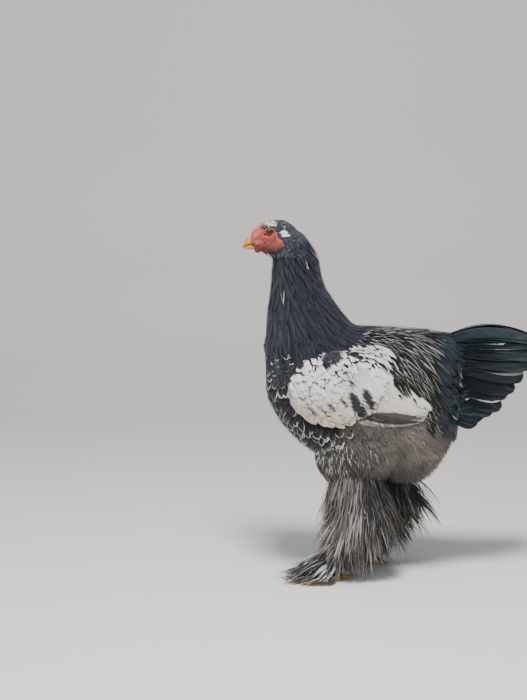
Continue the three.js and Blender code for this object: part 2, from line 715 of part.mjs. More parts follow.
// The beak: short, stout and curved down at its tip. Rows of [x, top, bottom, half width].
function beakSolid(rows, tip) {
  const rings = rows.map(([x, top, bottom, half]) => {
    const middle = mix(bottom, top, 0.32);
    return Array.from({ length: 10 }, (_, k) => {
      const angle = (2 * Math.PI * (k + 0.5)) / 10;
      const s = Math.sin(angle);
      return V(x, half * Math.cos(angle), middle + (s > 0 ? (top - middle) * s : (middle - bottom) * s));
    });
  });
  return skinned(rings, V(rows[0][0], 0, mix(rows[0][1], rows[0][2], 0.5)), V(...tip));
}

const upperBeak = () => {
  const shape = beakSolid(
    [
      [BEAK_FACE, 596.5, 581, 8.4],
      [-245, 594.8, 580.6, 7.3],
      [-250, 590.5, 579.4, 5.8],
      [-254.5, 585.3, 577.4, 4],
      [-257.6, 580.4, 575.2, 2.1],
    ],
    [-258.9, 0, 575.3],
  );
  const nostril = (sign) => blob([-246.2, sign * 6.6, 589.4], [2.1, 1.6, 1], { turn: -0.35, around: 8, rings: 3 });
  return shape.subtract(nostril(-1)).subtract(nostril(1));
};

const lowerBeak = () =>
  beakSolid(
    [
      [BEAK_FACE, 580.4, 573, 7.2],
      [-245.5, 579.9, 573, 6],
      [-250, 578.7, 573.4, 4.4],
      [-253.5, 576.9, 573.8, 2.6],
    ],
    [-255, 0, 575.2],
  );

// What each node keeps clear of is cut away a little larger than it is
const cut = (solid, ...others) => others.reduce((left, other) => left.subtract(other), solid);

const torsoCore = (room = 0) => loft(TORSO, room);
const neckGrown = join([loft(NECK, GAP).trimByPlane([0, 0, 1], 380), ...hackle(GAP)]);
const thighGrown = (side) => join([thighCore(side, GAP), ...thighVanes(side, GAP)]);
const wingBlank = (side) => join([wingCore(side), ...wingVanes(side)]);
const saddleGrown = join([torsoCore(GAP), ...saddle(GAP)]);

const group = new THREE.Group();
group.name = "brahma_cockerel";

function node(name, solid, material) {
  const { vertProperties, triVerts, numProp } = whole(solid).getMesh();
  const geometry = new THREE.BufferGeometry();
  geometry.setAttribute("position", new THREE.BufferAttribute(new Float32Array(vertProperties), numProp));
  geometry.setIndex(new THREE.BufferAttribute(new Uint32Array(triVerts), 1));
  const mesh = new THREE.Mesh(geometry, material);
  mesh.name = name;
  group.add(mesh);
}

node("head", headSolid(), FINISH.faceSkin);
node("beak_upper", upperBeak(), FINISH.horn);
node("beak_lower", lowerBeak(), FINISH.horn);

// The neck ends on the head's cut and on the torso, and its feathers hang clear over the shoulders
const neckTop = FACE_PLANE.normal.clone().negate();
const neckSolid = join([loft(NECK), ...hackle()])
  .trimByPlane([neckTop.x, neckTop.y, neckTop.z], neckTop.dot(FACE_PLANE.point) + 0.18);
node("neck", cut(neckSolid, torsoCore(GAP), lobe(-1, GAP), lobe(1, GAP)), FINISH.blackFeather);

node("torso", cut(join([torsoCore(), ...saddle()]), neckGrown.subtract(torsoCore(GAP - 0.1))), FINISH.blackFeather);
node("tail", cut(join([blob(RUMP.centre, RUMP.radii, { around: 14, rings: 6 }), ...tailVanes()]), saddleGrown), FINISH.tailFeather);

for (const side of ["left", "right"]) {
  const sign = SIDES[side];
  const clearOfOther = (solid) => solid.trimByPlane([0, sign, 0], 1);
  node("eye_" + side, eyeball(side), FINISH.eye);
  node("wing_" + side, cut(wingBlank(side), saddleGrown, neckGrown, thighGrown(side)), FINISH.whiteFeather);
  const thigh = cut(join([thighCore(side), ...thighVanes(side)]), torsoCore(GAP));
  node("thigh_" + side, clearOfOther(thigh), FINISH.greyFluff);

  const shank = join([bar(shankStops(side), UPRIGHT), ...bootVanes(side)]).trimByPlane([0, 0, 1], SHANK.end);
  node("shank_" + side, clearOfOther(cut(shank, thighGrown(side))), FINISH.greyFluff);
  const shankGrown = join([bar(shankStops(side), { ...UPRIGHT, room: GAP }), ...bootVanes(side, GAP)]).trimByPlane([0, 0, 1], SHANK.end - 0.4);

  const pad = footPad(side);
  const stub = bar([[pad.x + 3, pad.y, 20, 9.5], [pad.x, pad.y, 8, 11], [pad.x, pad.y, -4, 11]], UPRIGHT);
  const ankle = stub.trimByPlane([0, 0, -1], 0.4 - SHANK.end);
  const toes = Object.values(TOES).map((form) => toe(side, form));
  const foot = join([ankle, ...toes, ...toeVanes(side)]).trimByPlane([0, 0, 1], 0);
  const claws = Object.values(TOES).map((form) => claw(side, form, GAP));
  node("foot_" + side, cut(foot, shankGrown, ...claws), FINISH.toeSkin);
  for (const [toeName, form] of Object.entries(TOES)) {
    const way = toeWay(side, form);
    const end = way.dot(pad) + form.length + 0.3;
    node("claw_" + toeName + "_" + side, claw(side, form).trimByPlane([way.x, way.y, 0], end), FINISH.horn);
  }
}

export default group;
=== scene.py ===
import math
from functools import partial

import bpy
import numpy as np
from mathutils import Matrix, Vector


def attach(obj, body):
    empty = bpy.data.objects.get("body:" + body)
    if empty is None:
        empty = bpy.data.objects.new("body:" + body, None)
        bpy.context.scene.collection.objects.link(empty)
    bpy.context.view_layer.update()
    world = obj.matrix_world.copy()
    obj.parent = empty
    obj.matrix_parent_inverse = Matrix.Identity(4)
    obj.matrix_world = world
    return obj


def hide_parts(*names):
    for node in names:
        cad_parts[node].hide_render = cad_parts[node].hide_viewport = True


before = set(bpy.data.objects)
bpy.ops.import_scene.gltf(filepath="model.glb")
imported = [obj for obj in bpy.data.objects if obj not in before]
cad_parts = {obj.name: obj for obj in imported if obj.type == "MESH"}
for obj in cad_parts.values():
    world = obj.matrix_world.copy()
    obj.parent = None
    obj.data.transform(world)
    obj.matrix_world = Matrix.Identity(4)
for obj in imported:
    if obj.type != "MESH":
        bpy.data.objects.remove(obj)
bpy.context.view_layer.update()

# A young dark Brahma cockerel as a still model. It faces -X with its left side towards -Y.
# Body shapes and feathers are worked out in millimetres and turned into metres as each mesh is made.
MM = 0.001


# Camera
# The photo looks at the left side from a little above and about 2.8 m away, aimed ahead of the bird.
camera_data = bpy.data.cameras.new("camera")
camera_data.sensor_fit = "VERTICAL"
camera_data.sensor_height = 24
half_view = math.radians(12.5)
camera_data.lens = 12 / math.tan(half_view)
camera = bpy.data.objects.new("camera", camera_data)
look_down = math.radians(7)
camera.rotation_euler = (math.pi / 2 - look_down, 0, 0)
camera.location = Vector((-0.221, 0, 0.396)) + 2.76 * Vector((0, -math.cos(look_down), math.sin(look_down)))
bpy.context.scene.collection.objects.link(camera)
bpy.context.scene.camera = camera


# Floor and light
# A pale matt floor that turns up into a backdrop, one broad lamp over the back and one soft fill.
def linked(name, data):
    made = bpy.data.objects.new(name, data)
    bpy.context.scene.collection.objects.link(made)
    return made


def plain_material(name, color, roughness, settings=()):
    material = bpy.data.materials.new(name)
    material.use_nodes = True
    shader = material.node_tree.nodes["Principled BSDF"]
    shader.inputs["Base Color"].default_value = (*color, 1)
    shader.inputs["Roughness"].default_value = roughness
    for socket, value in dict(settings).items():
        shader.inputs[socket].default_value = value
    return material


floor_profile = [(-4, 0), (1.6, 0), (2.1, 0.08), (2.45, 0.35), (2.6, 0.8), (2.6, 4)]
floor_mesh = bpy.data.meshes.new("floor")
floor_mesh.from_pydata(
    [(x, y, z) for y, z in floor_profile for x in (-4, 4)],
    [],
    [(2 * i, 2 * i + 1, 2 * i + 3, 2 * i + 2) for i in range(len(floor_profile) - 1)],
)
floor_mesh.polygons.foreach_set("use_smooth", [True] * len(floor_mesh.polygons))
floor_mesh.materials.append(plain_material("floor", (0.62, 0.6, 0.57), 0.9))
linked("floor", floor_mesh)

world = bpy.data.worlds.new("studio")
world.use_nodes = True
world.node_tree.nodes["Background"].inputs["Color"].default_value = (0.85, 0.9, 1, 1)
world.node_tree.nodes["Background"].inputs["Strength"].default_value = 0.62
bpy.context.scene.world = world


def lamp(name, place, aim, size, power, color):
    data = bpy.data.lights.new(name, "AREA")
    data.size = size
    data.energy = power
    data.color = color
    made = linked(name, data)
    made.location = place
    made.rotation_euler = (Vector(aim) - Vector(place)).to_track_quat("-Z", "Y").to_euler()


lamp("high_key", (-0.1, -1.1, 2.4), (0, 0, 0.35), 0.6, 112, (1, 0.97, 0.92))
lamp("soft_fill", (-1.6, -2.4, 1.2), (0, 0, 0.3), 1.8, 34, (0.93, 0.96, 1))


# Body
# The shape under the coat: the torso, neck and head are lofts, the folded wings, thighs and rump are eggs.
# Each is a rule for how far a point is outside it, and the rules are blended into one body.

# A loft's row holds a share of its length, then the top, the bottom, the half width and the widest level.
TORSO = {
    "along": 0,
    "from": -220,
    "to": 118,
    "rows": [
        [0, 362, 362, 0.1, 362],
        [0.1, 395, 312, 38, 355],
        [0.2, 418, 268, 66, 345],
        [0.3, 430, 230, 84, 335],
        [0.4, 435, 202, 92, 325],
        [0.5, 436, 186, 94, 318],
        [0.6, 435, 173, 92, 312],
        [0.7, 432, 176, 84, 312],
        [0.8, 426, 207, 68, 322],
        [0.9, 408, 252, 44, 335],
        [1, 345, 345, 0.1, 345],
    ],
}
NECK = {
    "along": 2,
    "from": 372,
    "to": 606,
    "rows": [
        [0, -140, -140, 0.1, -140],
        [0.18, -48, -214, 70, -130],
        [0.32, -58, -214, 68, -138],
        [0.42, -84, -212, 58, -150],
        [0.5, -105, -209, 47, -158],
        [0.58, -120, -206, 41, -164],
        [0.7, -128, -206, 36, -168],
        [0.8, -141, -211, 31, -177],
        [0.9, -156, -208, 24, -184],
        [1, -184, -184, 0.1, -184],
    ],
}
HEAD = {
    "along": 0,
    "from": -246,
    "to": -157,
    "rows": [
        [0, 588, 588, 0.1, 588],
        [0.15, 599, 577, 9.5, 588],
        [0.3, 611, 569, 14.5, 590],
        [0.45, 621, 560, 19.5, 591],
        [0.6, 622, 556, 22.5, 592],
        [0.75, 612, 558, 21, 590],
        [0.9, 599, 570, 13, 587],
        [1, 586, 586, 0.1, 586],
    ],
}
SQUARENESS = 2.2
LEFT, RIGHT = -1, 1
SIDES = (LEFT, RIGHT)
SIDE_NAMES = {LEFT: "left", RIGHT: "right"}
THIGH_X = {LEFT: -62, RIGHT: -26}
HOCK_X = {LEFT: -42, RIGHT: 6}
FOOT_X = {LEFT: -96, RIGHT: -34}


def curve_through(rows):
    """Reads a table of [key, value, ...] as smooth curves through every row."""
    table = np.array(rows, float)
    keys, values = table[:, 0], table[:, 1:]
    before = np.r_[0, np.arange(len(keys) - 1)]
    after = np.r_[np.arange(1, len(keys)), len(keys) - 1]
    slopes = (values[after] - values[before]) / (keys[after] - keys[before])[:, None]

    def read(at):
        i = np.clip(np.searchsorted(keys, at, side="right") - 1, 0, len(keys) - 2)
        span = (keys[i + 1] - keys[i])[:, None]
        u = np.clip((at - keys[i])[:, None] / span, 0, 1)
        rise = values[i + 1] - values[i]
        start, end = slopes[i] * span, slopes[i + 1] * span
        return values[i] + u * (start + u * (3 * rise - 2 * start - end + u * (start + end - 2 * rise)))

    return read


def outside_loft(form):
    read = curve_through(form["rows"])
    middle = (form["from"] + form["to"]) / 2
    half_span = (form["to"] - form["from"]) / 2

    def distance(p):
        along = p[:, form["along"]]
        rise = p[:, 2 - form["along"]]
        u = (middle - along) / half_span
        high, low, half, level = read(np.arccos(np.clip(u, -0.995, 0.995)) / np.pi).T
        depth = np.maximum(np.where(rise > level, high - level, level - low), 0.1)
        across, upright = np.abs(p[:, 1] / half), np.abs((rise - level) / depth)
        size = (across**SQUARENESS + upright**SQUARENESS) ** (1 / SQUARENESS)
        reach = np.hypot(p[:, 1], rise - level)
        outside = reach - reach / np.maximum(size, 0.05)
        beyond = np.maximum(np.abs(u) - 1, 0) * half_span
        return np.where(size < 0.05, -np.minimum(half, depth), outside) + beyond

    return distance


def outside_egg(centre, radii, turn=0.0):
    c, s = math.cos(turn), math.sin(turn)

    def distance(p):
        x, y, z = (p - np.array(centre, float)).T
        q = np.stack([c * x - s * z, y, s * x + c * z], 1) / np.array(radii, float)
        return (np.linalg.norm(q, axis=1) - 1) * min(radii)

    return distance


def outside_bar(start, end, start_radius, end_radius):
    a, b = np.array(start, float), np.array(end, float)

    def distance(p):
        s = np.clip((p - a) @ (b - a) / ((b - a) @ (b - a)), 0, 1)
        radius = start_radius + s * (end_radius - start_radius)
        return np.linalg.norm(p - a - s[:, None] * (b - a), axis=1) - radius

    return distance


def blended(rules, softness):
    def distance(p):
        total = rules[0](p)
        for rule in rules[1:]:
            other = rule(p)
            share = np.clip(0.5 + 0.5 * (other - total) / softness, 0, 1)
            total = other + (total - other) * share - softness * share * (1 - share)
        return total

    return distance


def blunt_front(rule, front):
    """Cuts the needle that a loft's first station leaves in front of it."""
    return lambda p: np.maximum(rule(p), front - p[:, 0])


wing_eggs = {side: ((-96, side * 80, 345), (84, 20, 58)) for side in SIDES}
thigh_eggs = {side: ((THIGH_X[side], side * 51, 226), (70, 42, 68)) for side in SIDES}
hocks = {side: (HOCK_X[side] + 4, side * 53, 186) for side in SIDES}
torso_rule = blunt_front(outside_loft(TORSO), -215)
neck_rule = outside_loft(NECK)
head_rule = outside_loft(HEAD)
rump_rule = outside_egg((96, 0, 372), (52, 34, 46))
wing_rules = {side: outside_egg(*wing_eggs[side]) for side in SIDES}
thigh_rules = {side: outside_egg(*thigh_eggs[side]) for side in SIDES}
shank_rules = [outside_bar(hocks[side], (FOOT_X[side] + 2, side * 57, 12), 13, 9) for side in SIDES]
limb_rules = [*wing_rules.values(), *thigh_rules.values()]
trunk_rule = blended([torso_rule, neck_rule, head_rule, rump_rule, *limb_rules], 9)
body_rule = blended([trunk_rule, *shank_rules], 5)


# Skin
# One skin runs from the face to the shanks. It is bare and red on the face, with wattles, lobes, brows and
# cheeks raised in it, and slate or white where feathers cover it, a coat's depth inside the outline.
def slope(rule, p):
    steps = 0.7 * np.eye(3)
    return np.stack([(rule(p + step) - rule(p - step)) / 1.4 for step in steps], 1)


def settle(rule, p, level=0.0, rounds=4):
    """Moves points along the rule's slope until they stand at a level."""
    for _ in range(rounds):
        way = slope(rule, p)
        steep = np.maximum(np.linalg.norm(way, axis=1), 0.3)
        off = np.clip((rule(p) - level) / steep, -9, 9)
        p = p - way / steep[:, None] * off[:, None]
    return p


def unit(v):
    return v / np.maximum(np.linalg.norm(v, axis=-1, keepdims=True), 1e-9)


def noise(p, size, seed=0):
    """Smooth noise between -1 and 1 from a few turned waves."""
    rng = np.random.default_rng(seed)
    total = np.zeros(len(p))
    for _ in range(7):
        way = unit(rng.normal(size=3)) * rng.uniform(0.7, 1.6)
        total += np.sin(p @ way * (2 * np.pi / size) + rng.uniform(0, 6.28))
    return total / 3.2


def ramp(value, start, end):
    """0 up to the start, 1 past the end and straight between them. The end may be the lower one."""
    return np.clip((value - start) / (end - start), 0, 1)


def column(values):
    return np.reshape(values, (-1, 1))


def mix(a, b, share):
    """Two colours mixed by a share for each row."""
    return np.array(a) * (1 - column(share)) + np.array(b) * column(share)


def chosen(share, a, b):
    return np.where(column(share), a, b)


def mottled(color, p, strength, size, seed):
    return np.array(color) * (1 + strength * noise(p, size, seed)[:, None])


wattles = {side: ((-231, side * 6.5, 574), (6.5, 2.8, 8.5)) for side in SIDES}
lobes = {side: ((-192.5, side * 20.5, 585), (6.5, 3, 8.5)) for side in SIDES}
face_rules = []
for side in SIDES:
    face_rules += [
        outside_egg(*wattles[side], 0.25),
        outside_egg(*lobes[side], -0.3),
        outside_egg((-209, side * 15.5, 612), (12, 4.6, 3.4), -0.1),
        outside_egg((-214, side * 15, 592), (13, 5.4, 5), 0.2),
        outside_bar((-243.5, side * 8.6, 585), (-232, side * 13.4, 583.5), 1.7, 1.9),
        outside_bar((-232, side * 13.4, 583.5), (-217, side * 18, 586), 1.9, 1.4),
        outside_bar((-240, side * 9.5, 577), (-222, side * 15.5, 573), 1.4, 1.8),
    ]


def bareness(p):
    """1 on the bare face, 0 where feathers grow: the face from the beak back behind the eye and the lobe."""
    x, z = p[:, 0], p[:, 2]
    back = -198.5 + 12 * np.exp(-(((z - 582.5) / 9) ** 4))
    top = 607 + 0.3 * np.maximum(x + 203, 0) + 1.2 * np.maximum(-223 - x, 0)
    bottom = 566.5 + 0.15 * np.maximum(x + 215, 0)
    inside = np.minimum(np.minimum(back - x, top - z), z - bottom) + 1.5 * noise(p, 8, 41)
    return np.clip(0.5 + inside / 3.0, 0, 1) * (z > 560)


def coat_depth(p):
    """How far the skin lies inside the outline: little on the face and shanks, most on breast and belly."""
    z = p[:, 2]
    trunk = ramp(z, 430, 390) * ramp(z, 160, 200)
    neck = ramp(z, 430, 460) * ramp(z, 600, 570)
    return (1 - bareness(p)) * (1.2 + 5.5 * trunk + 1.5 * neck)


def full_turn(count):
    return np.linspace(0, 2 * np.pi, count, endpoint=False)


def loft_grid(form, stations, around):
    """Points of a loft as rows round its length, for joining into one blank."""
    t = np.linspace(0.015, 0.985, stations)
    high, low, half, level = (part[:, None] for part in curve_through(form["rows"])(t).T)
    along = (form["from"] + form["to"]) / 2 - (form["to"] - form["from"]) / 2 * np.cos(np.pi * t)
    angle = full_turn(around)[None, :]
    c, s = (np.sign(f(angle)) * np.abs(f(angle)) ** (2 / SQUARENESS) for f in (np.cos, np.sin))
    rise = level + np.where(s > 0, high - level, level - low) * s
    side = half * c
    along = np.broadcast_to(along[:, None], rise.shape)
    return np.stack([along, side, rise] if form["along"] == 0 else [rise, side, along], 2)


def egg_grid(centre, radii, stations=20, around=24):
    polar = np.linspace(0.06, np.pi - 0.06, stations)[:, None]
    angle = full_turn(around)[None, :]
    x, y = np.sin(polar) * np.cos(angle), np.sin(polar) * np.sin(angle)
    return np.array(centre, float) + np.stack([x, y, np.cos(polar) + 0 * angle], 2) * np.array(radii, float)


def tube_grid(path, radii, around=16, square=(0, 0, 1)):
    """Points of a round tube along a path. The square must not run along the path."""
    path = np.array(path, float)
    way = unit(np.gradient(path, axis=0))
    side = unit(np.cross(np.array(square, float), way))
    up = np.cross(way, side)
    angle = full_turn(around)[None, :, None]
    ring = side[:, None] * np.cos(angle) + up[:, None] * np.sin(angle)
    return path[:, None] + ring * radii.reshape(len(path), -1, 1)


def tubes_mesh(name, grids):
    """One mesh of closed tubes. Each grid is (rows, around, 3) in millimetres and its ends are closed."""
    points, faces, start = [], [], 0
    for grid in grids:
        rows, around = grid.shape[:2]
        points += (grid.reshape(-1, 3) * MM).tolist()
        for i in range(rows - 1):
            for k in range(around):
                a, b = start + i * around + k, start + i * around + (k + 1) % around
                faces.append((a, b, b + around, a + around))
        faces.append(tuple(start + k for k in range(around - 1, -1, -1)))
        faces.append(tuple(start + (rows - 1) * around + k for k in range(around)))
        start += rows * around
    mesh = bpy.data.meshes.new(name)
    mesh.from_pydata(points, [], faces)
    mesh.polygons.foreach_set("use_smooth", [True] * len(mesh.polygons))
    mesh.update()
    return mesh


def points_of(mesh):
    flat = np.empty(len(mesh.vertices) * 3)
    mesh.vertices.foreach_get("co", flat)
    return flat.reshape(-1, 3) / MM


def place_points(mesh, points):
    mesh.vertices.foreach_set("co", (points * MM).ravel())
    mesh.update()


def finished(blank):
    """The mesh of an object with its modifiers applied. The object itself is taken away."""
    made = bpy.data.meshes.new_from_object(blank.evaluated_get(bpy.context.evaluated_depsgraph_get()))
    bpy.data.objects.remove(blank)
    return made


def remeshed(mesh, voxel):
    """The mesh as one closed surface of even quads."""
    blank = linked("blank", mesh)
    remesh = blank.modifiers.new("one_surface", "REMESH")
    remesh.mode = "VOXEL"
    remesh.voxel_size = voxel * MM
    remesh.use_smooth_shade = True
    made = finished(blank)
    made.polygons.foreach_set("use_smooth", [True] * len(made.polygons))
    return made


def paint(mesh, name, colors):
    rgba = np.ones((len(mesh.vertices), 4), np.float32)
    rgba[:, : colors.shape[1]] = colors
    mesh.attributes.new(name, "FLOAT_COLOR", "POINT").data.foreach_set("color", rgba.ravel())


def in_fluff(x, z):
    """True on the belly, flanks and abdomen, where soft grey-brown feathers grow."""
    return (x >= -108 + 0.35 * (z - 250)) & (z < 300 + 0.28 * np.maximum(x - 40, 0))


def skin_color(p):
    """Mottled red on the bare face, painted darker low down as shade under the head, yellow down the legs,
    and elsewhere the colour of the coat over it.
    """
    x, z = p[:, 0], p[:, 2]
    red = mottled((0.21, 0.022, 0.016), p, 0.45, 9, 3)
    muzzle = ramp(x, -223, -235) * ramp(z, 588, 598) * 0.6
    fold = np.exp(-(((z - 585) / 2.4) ** 2)) * ramp(x, -214, -222) * 0.8
    red = mix(red, (0.38, 0.14, 0.1), np.maximum(muzzle, fold))
    # Painted shade: the lower face and the wattles are darker towards the bottom, under the head.
    red = red * (1 - 0.55 * ramp(z, 580, 570))[:, None]
    coat = chosen(in_fluff(x, z), (0.1, 0.088, 0.078), (0.02, 0.021, 0.025))
    under_wing = np.minimum(wing_rules[LEFT](p), wing_rules[RIGHT](p)) < -2
    coat = chosen(under_wing, (0.6, 0.57, 0.52), coat)
    coat = mix(coat, (0.45, 0.29, 0.08), ramp(z, 85, 55))
    return np.clip(mix(coat, red, bareness(p)), 0, 1)


class Graph:
    """Adds and joins the nodes of one tree in short calls."""

    def __init__(self, tree):
        self.tree = tree

    def add(self, kind, **values):
        made = self.tree.nodes.new(kind)
        for key, value in values.items():
            setattr(made, key, value)
        return made

    def join(self, socket, value):
        if isinstance(value, bpy.types.NodeSocket):
            self.tree.links.new(value, socket)
        else:
            socket.default_value = value

    def maths(self, operation, *values):
        made = self.add("ShaderNodeMath", operation=operation)
        for socket, value in zip(made.inputs, values):
            self.join(socket, value)
        return made.outputs[0]

    def mixed(self, share, a, b, blend="MIX"):
        made = self.add("ShaderNodeMix", data_type="RGBA", blend_type=blend)
        for name, value in (("Factor_Float", share), ("A_Color", a), ("B_Color", b)):
            self.join(next(s for s in made.inputs if s.identifier == name), value)
        return next(s for s in made.outputs if s.identifier == "Result_Color")

    def texture(self, kind, scale, **values):
        """A texture that lies in the piece's own space."""
        made = self.add("ShaderNodeTex" + kind, **values)
        self.join(made.inputs["Vector"], self.add("ShaderNodeTexCoord").outputs["Object"])
        made.inputs["Scale"].default_value = scale
        return made

    def clouds(self, scale, detail):
        made = self.texture("Noise", scale)
        made.inputs["Detail"].default_value = detail
        return made.outputs["Fac"]

    def painted(self, name):
        return self.add("ShaderNodeAttribute", attribute_name=name).outputs["Color"]

    def bumped(self, height, distance):
        made = self.add("ShaderNodeBump")
        made.inputs["Distance"].default_value = distance
        self.join(made.inputs["Height"], height)
        return made.outputs["Normal"]


def tint_material(
    name, roughness, settings, color=(0.5, 0.5, 0.5), grain=(260, 5), contrast=0.5, bump=0.0002, pores=0.0
):
    """The painted tint, mottled by noise that also raises a bump, with pores where asked for."""
    material = plain_material(name, color, roughness, settings)
    graph = Graph(material.node_tree)
    shader = material.node_tree.nodes["Principled BSDF"]
    height = mottle = graph.clouds(*grain)
    if pores:
        pitted = graph.texture("Voronoi", 2.6 * grain[0], feature="SMOOTH_F1").outputs["Distance"]
        height = graph.maths("ADD", mottle, graph.maths("MULTIPLY", pitted, pores))
    shade = graph.maths("ADD", graph.maths("MULTIPLY", mottle, contrast), 1 - contrast / 2)
    graph.join(shader.inputs["Base Color"], graph.mixed(1.0, graph.painted("tint"), shade, "MULTIPLY"))
    graph.join(shader.inputs["Normal"], graph.bumped(height, bump))
    return material


def dressed(name, mesh, material):
    """Adds a finished piece of the model."""
    mesh.name = name
    if not mesh.materials:
        mesh.materials.append(material)
    piece = linked(name, mesh)
    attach(piece, "root")
    return piece


skin_grids = [loft_grid(TORSO, 40, 40), loft_grid(NECK, 30, 32), loft_grid(HEAD, 30, 32)]
skin_grids.append(egg_grid((96, 0, 372), (50, 32, 44)))
for side in SIDES:
    shank = np.linspace(hocks[side], (FOOT_X[side] + 2, side * 57, 14), 12)
    skin_grids += [
        egg_grid(*wing_eggs[side]),
        egg_grid(*thigh_eggs[side]),
        egg_grid(*wattles[side], 10, 12),
        egg_grid(*lobes[side], 10, 12),
        tube_grid(shank, np.linspace(12.5, 9, 12), square=(1, 0, 0)),
    ]
skin_mesh = remeshed(tubes_mesh("blank", skin_grids), 2.3)
skin_points = points_of(skin_mesh)
full_rule = blended([body_rule, *face_rules], 2.2)
for _ in range(2):
    skin_points = settle(full_rule, skin_points, -coat_depth(skin_points), 2)

EYE = np.array([-210.5, 17.2, 604.0])
EYE_RADIUS = 6.3
for side in SIDES:
    socket = EYE * (1, side, 1)
    away = skin_points - socket
    far = np.linalg.norm(away, axis=1)
    sunk = far < EYE_RADIUS + 0.6
    skin_points[sunk] = socket + away[sunk] / far[sunk, None] * (EYE_RADIUS - 1.2)
place_points(skin_mesh, skin_points)
paint(skin_mesh, "tint", skin_color(skin_points))
soft = {"Subsurface Weight": 0.08, "Subsurface Scale": 0.003, "Subsurface Radius": (1, 0.35, 0.2)}
face_material = tint_material(
    "face_skin", 0.5, soft, (0.5, 0.15, 0.1), grain=(1 / 0.0035, 6), contrast=0.7, bump=0.0014, pores=0.6
)
skin = dressed("skin", skin_mesh, face_material)
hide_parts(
    "head", "neck", "torso", "tail", "wing_left", "wing_right", "thigh_left", "thigh_right",
    "shank_left", "shank_right",
)


# Eyes
# Dark glossy eyes with a deep orange-brown iris, each in a ring of red lid with a fold under the brow.
# The lids carry painted shade on their inner edge, next to the eye.
def eye_mesh(side, rows=22, around=32):
    polar = np.linspace(0.05, np.pi - 0.05, rows)[:, None]
    angle = full_turn(around)[None, :]
    bulge = 1 + 0.07 * np.exp(-((polar / 0.5) ** 2))
    out = np.cos(polar) * EYE_RADIUS * bulge
    x, z = (np.sin(polar) * f(angle) * EYE_RADIUS for f in (np.cos, np.sin))
    mesh = tubes_mesh("eye", [EYE * (1, side, 1) + np.stack([x, side * (out - 0.6) + 0 * angle, z], 2)])
    spread = np.broadcast_to(polar, (rows, around)).ravel()
    threads = np.cos(np.tile(angle * 23, (rows, 1)).ravel())
    iris = np.array([0.09, 0.026, 0.008]) * (1 + 0.3 * threads)[:, None]
    pupil = np.clip((0.4 - spread) / 0.05, 0, 1)[:, None]
    rim = np.clip((spread - 0.72) / 0.1, 0, 1)[:, None]
    paint(mesh, "tint", iris * (1 - pupil) * (1 - rim) + 0.006 + 0.03 * rim)
    return mesh


def lid_ring(side, spread, thick, out):
    """One soft ring round an eye, a little longer than it is high and raised under the brow."""
    angle = np.linspace(0, 2 * np.pi, 49)
    brow = 1 + 0.1 * np.cos(2 * angle) + 0.05 * np.cos(3 * angle + 1)
    x = EYE[0] + spread * 1.1 * brow * np.cos(angle)
    z = EYE[2] + spread * 0.76 * np.sin(angle)
    loop = np.stack([x, side * (EYE[1] + out) + 0 * angle, z], 1)
    return tube_grid(loop, thick * (1 + 0.12 * np.sin(angle * 9)), 10, square=(0, 1, 0))


def gloss(coat, specular=0.3):
    return {"Specular IOR Level": specular, "Coat Weight": coat, "Coat Roughness": 0.05}


eye_material = tint_material("eye", 0.12, gloss(0.2, 0.1))
for side, name in SIDE_NAMES.items():
    eye = dressed("eyeball_" + name, eye_mesh(side), eye_material)
    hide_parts("eye_" + name)
    lids = tubes_mesh("lids", [lid_ring(side, 5.7, 0.95, 3.7), lid_ring(side, 7.4, 1.1, 2.2)])
    p = points_of(lids)
    away = np.hypot(p[:, 0] - EYE[0], p[:, 2] - EYE[2])[:, None]
    # Painted shade: each lid is darker towards the eye, in the crease where it meets the eyeball.
    inner = np.clip((away - 5.2) / 1.6, 0.2, 1)
    paint(lids, "tint", mottled(np.array([0.3, 0.04, 0.028]) * inner, p, 0.35, 5, 9))
    dressed("eyelids_" + name, lids, face_material)


# Comb
# A small pea comb: three rows of beads from the beak's root to the brow, grown on points by Geometry Nodes.
comb_rng = np.random.default_rng(5)
comb_places, comb_sizes = [], []
for row, count, size in ((-1, 6, 2.4), (0, 7, 3.4), (1, 6, 2.4)):
    for s in np.linspace(0, 1, count):
        height = 602.5 + 15.5 * s - 2.8 * abs(row)
        comb_places.append((-240 + 19 * s, row * 4.1 + comb_rng.normal(0, 0.25), height))
        comb_sizes.append(size * comb_rng.uniform(0.8, 1.12) * (1 - 0.2 * (2 * s - 1) ** 2))
comb_seed = bpy.data.meshes.new("comb_seed")
comb_seed.from_pydata((np.array(comb_places) * MM).tolist(), [], [])
comb_seed.attributes.new("bead", "FLOAT", "POINT").data.foreach_set("value", np.array(comb_sizes) * MM)


def beads_tree(material):
    """Grows one rounded bead on each point, as large as its size says."""
    tree = bpy.data.node_groups.new("comb_beads", "GeometryNodeTree")
    tree.interface.new_socket("Points", in_out="INPUT", socket_type="NodeSocketGeometry")
    detail = tree.interface.new_socket("Bead detail", in_out="INPUT", socket_type="NodeSocketInt")
    detail.default_value = 3
    tree.interface.new_socket("Beads", in_out="OUTPUT", socket_type="NodeSocketGeometry")
    graph = Graph(tree)
    entry = graph.add("NodeGroupInput")
    ball = graph.add("GeometryNodeMeshIcoSphere")
    graph.join(ball.inputs["Subdivisions"], entry.outputs["Bead detail"])
    size = graph.add("GeometryNodeInputNamedAttribute", data_type="FLOAT")
    size.inputs["Name"].default_value = "bead"
    grow = graph.add("GeometryNodeInstanceOnPoints")
    graph.join(grow.inputs["Instance"], ball.outputs["Mesh"])
    graph.join(grow.inputs["Scale"], size.outputs["Attribute"])
    real = graph.add("GeometryNodeRealizeInstances")
    smooth = graph.add("GeometryNodeSetShadeSmooth")
    dress = graph.add("GeometryNodeSetMaterial")
    dress.inputs["Material"].default_value = material
    flow = entry.outputs["Points"]
    for node in (grow, real, smooth, dress):
        graph.join(node.inputs[0], flow)
        flow = node.outputs[0]
    graph.join(graph.add("NodeGroupOutput").inputs["Beads"], flow)
    return tree


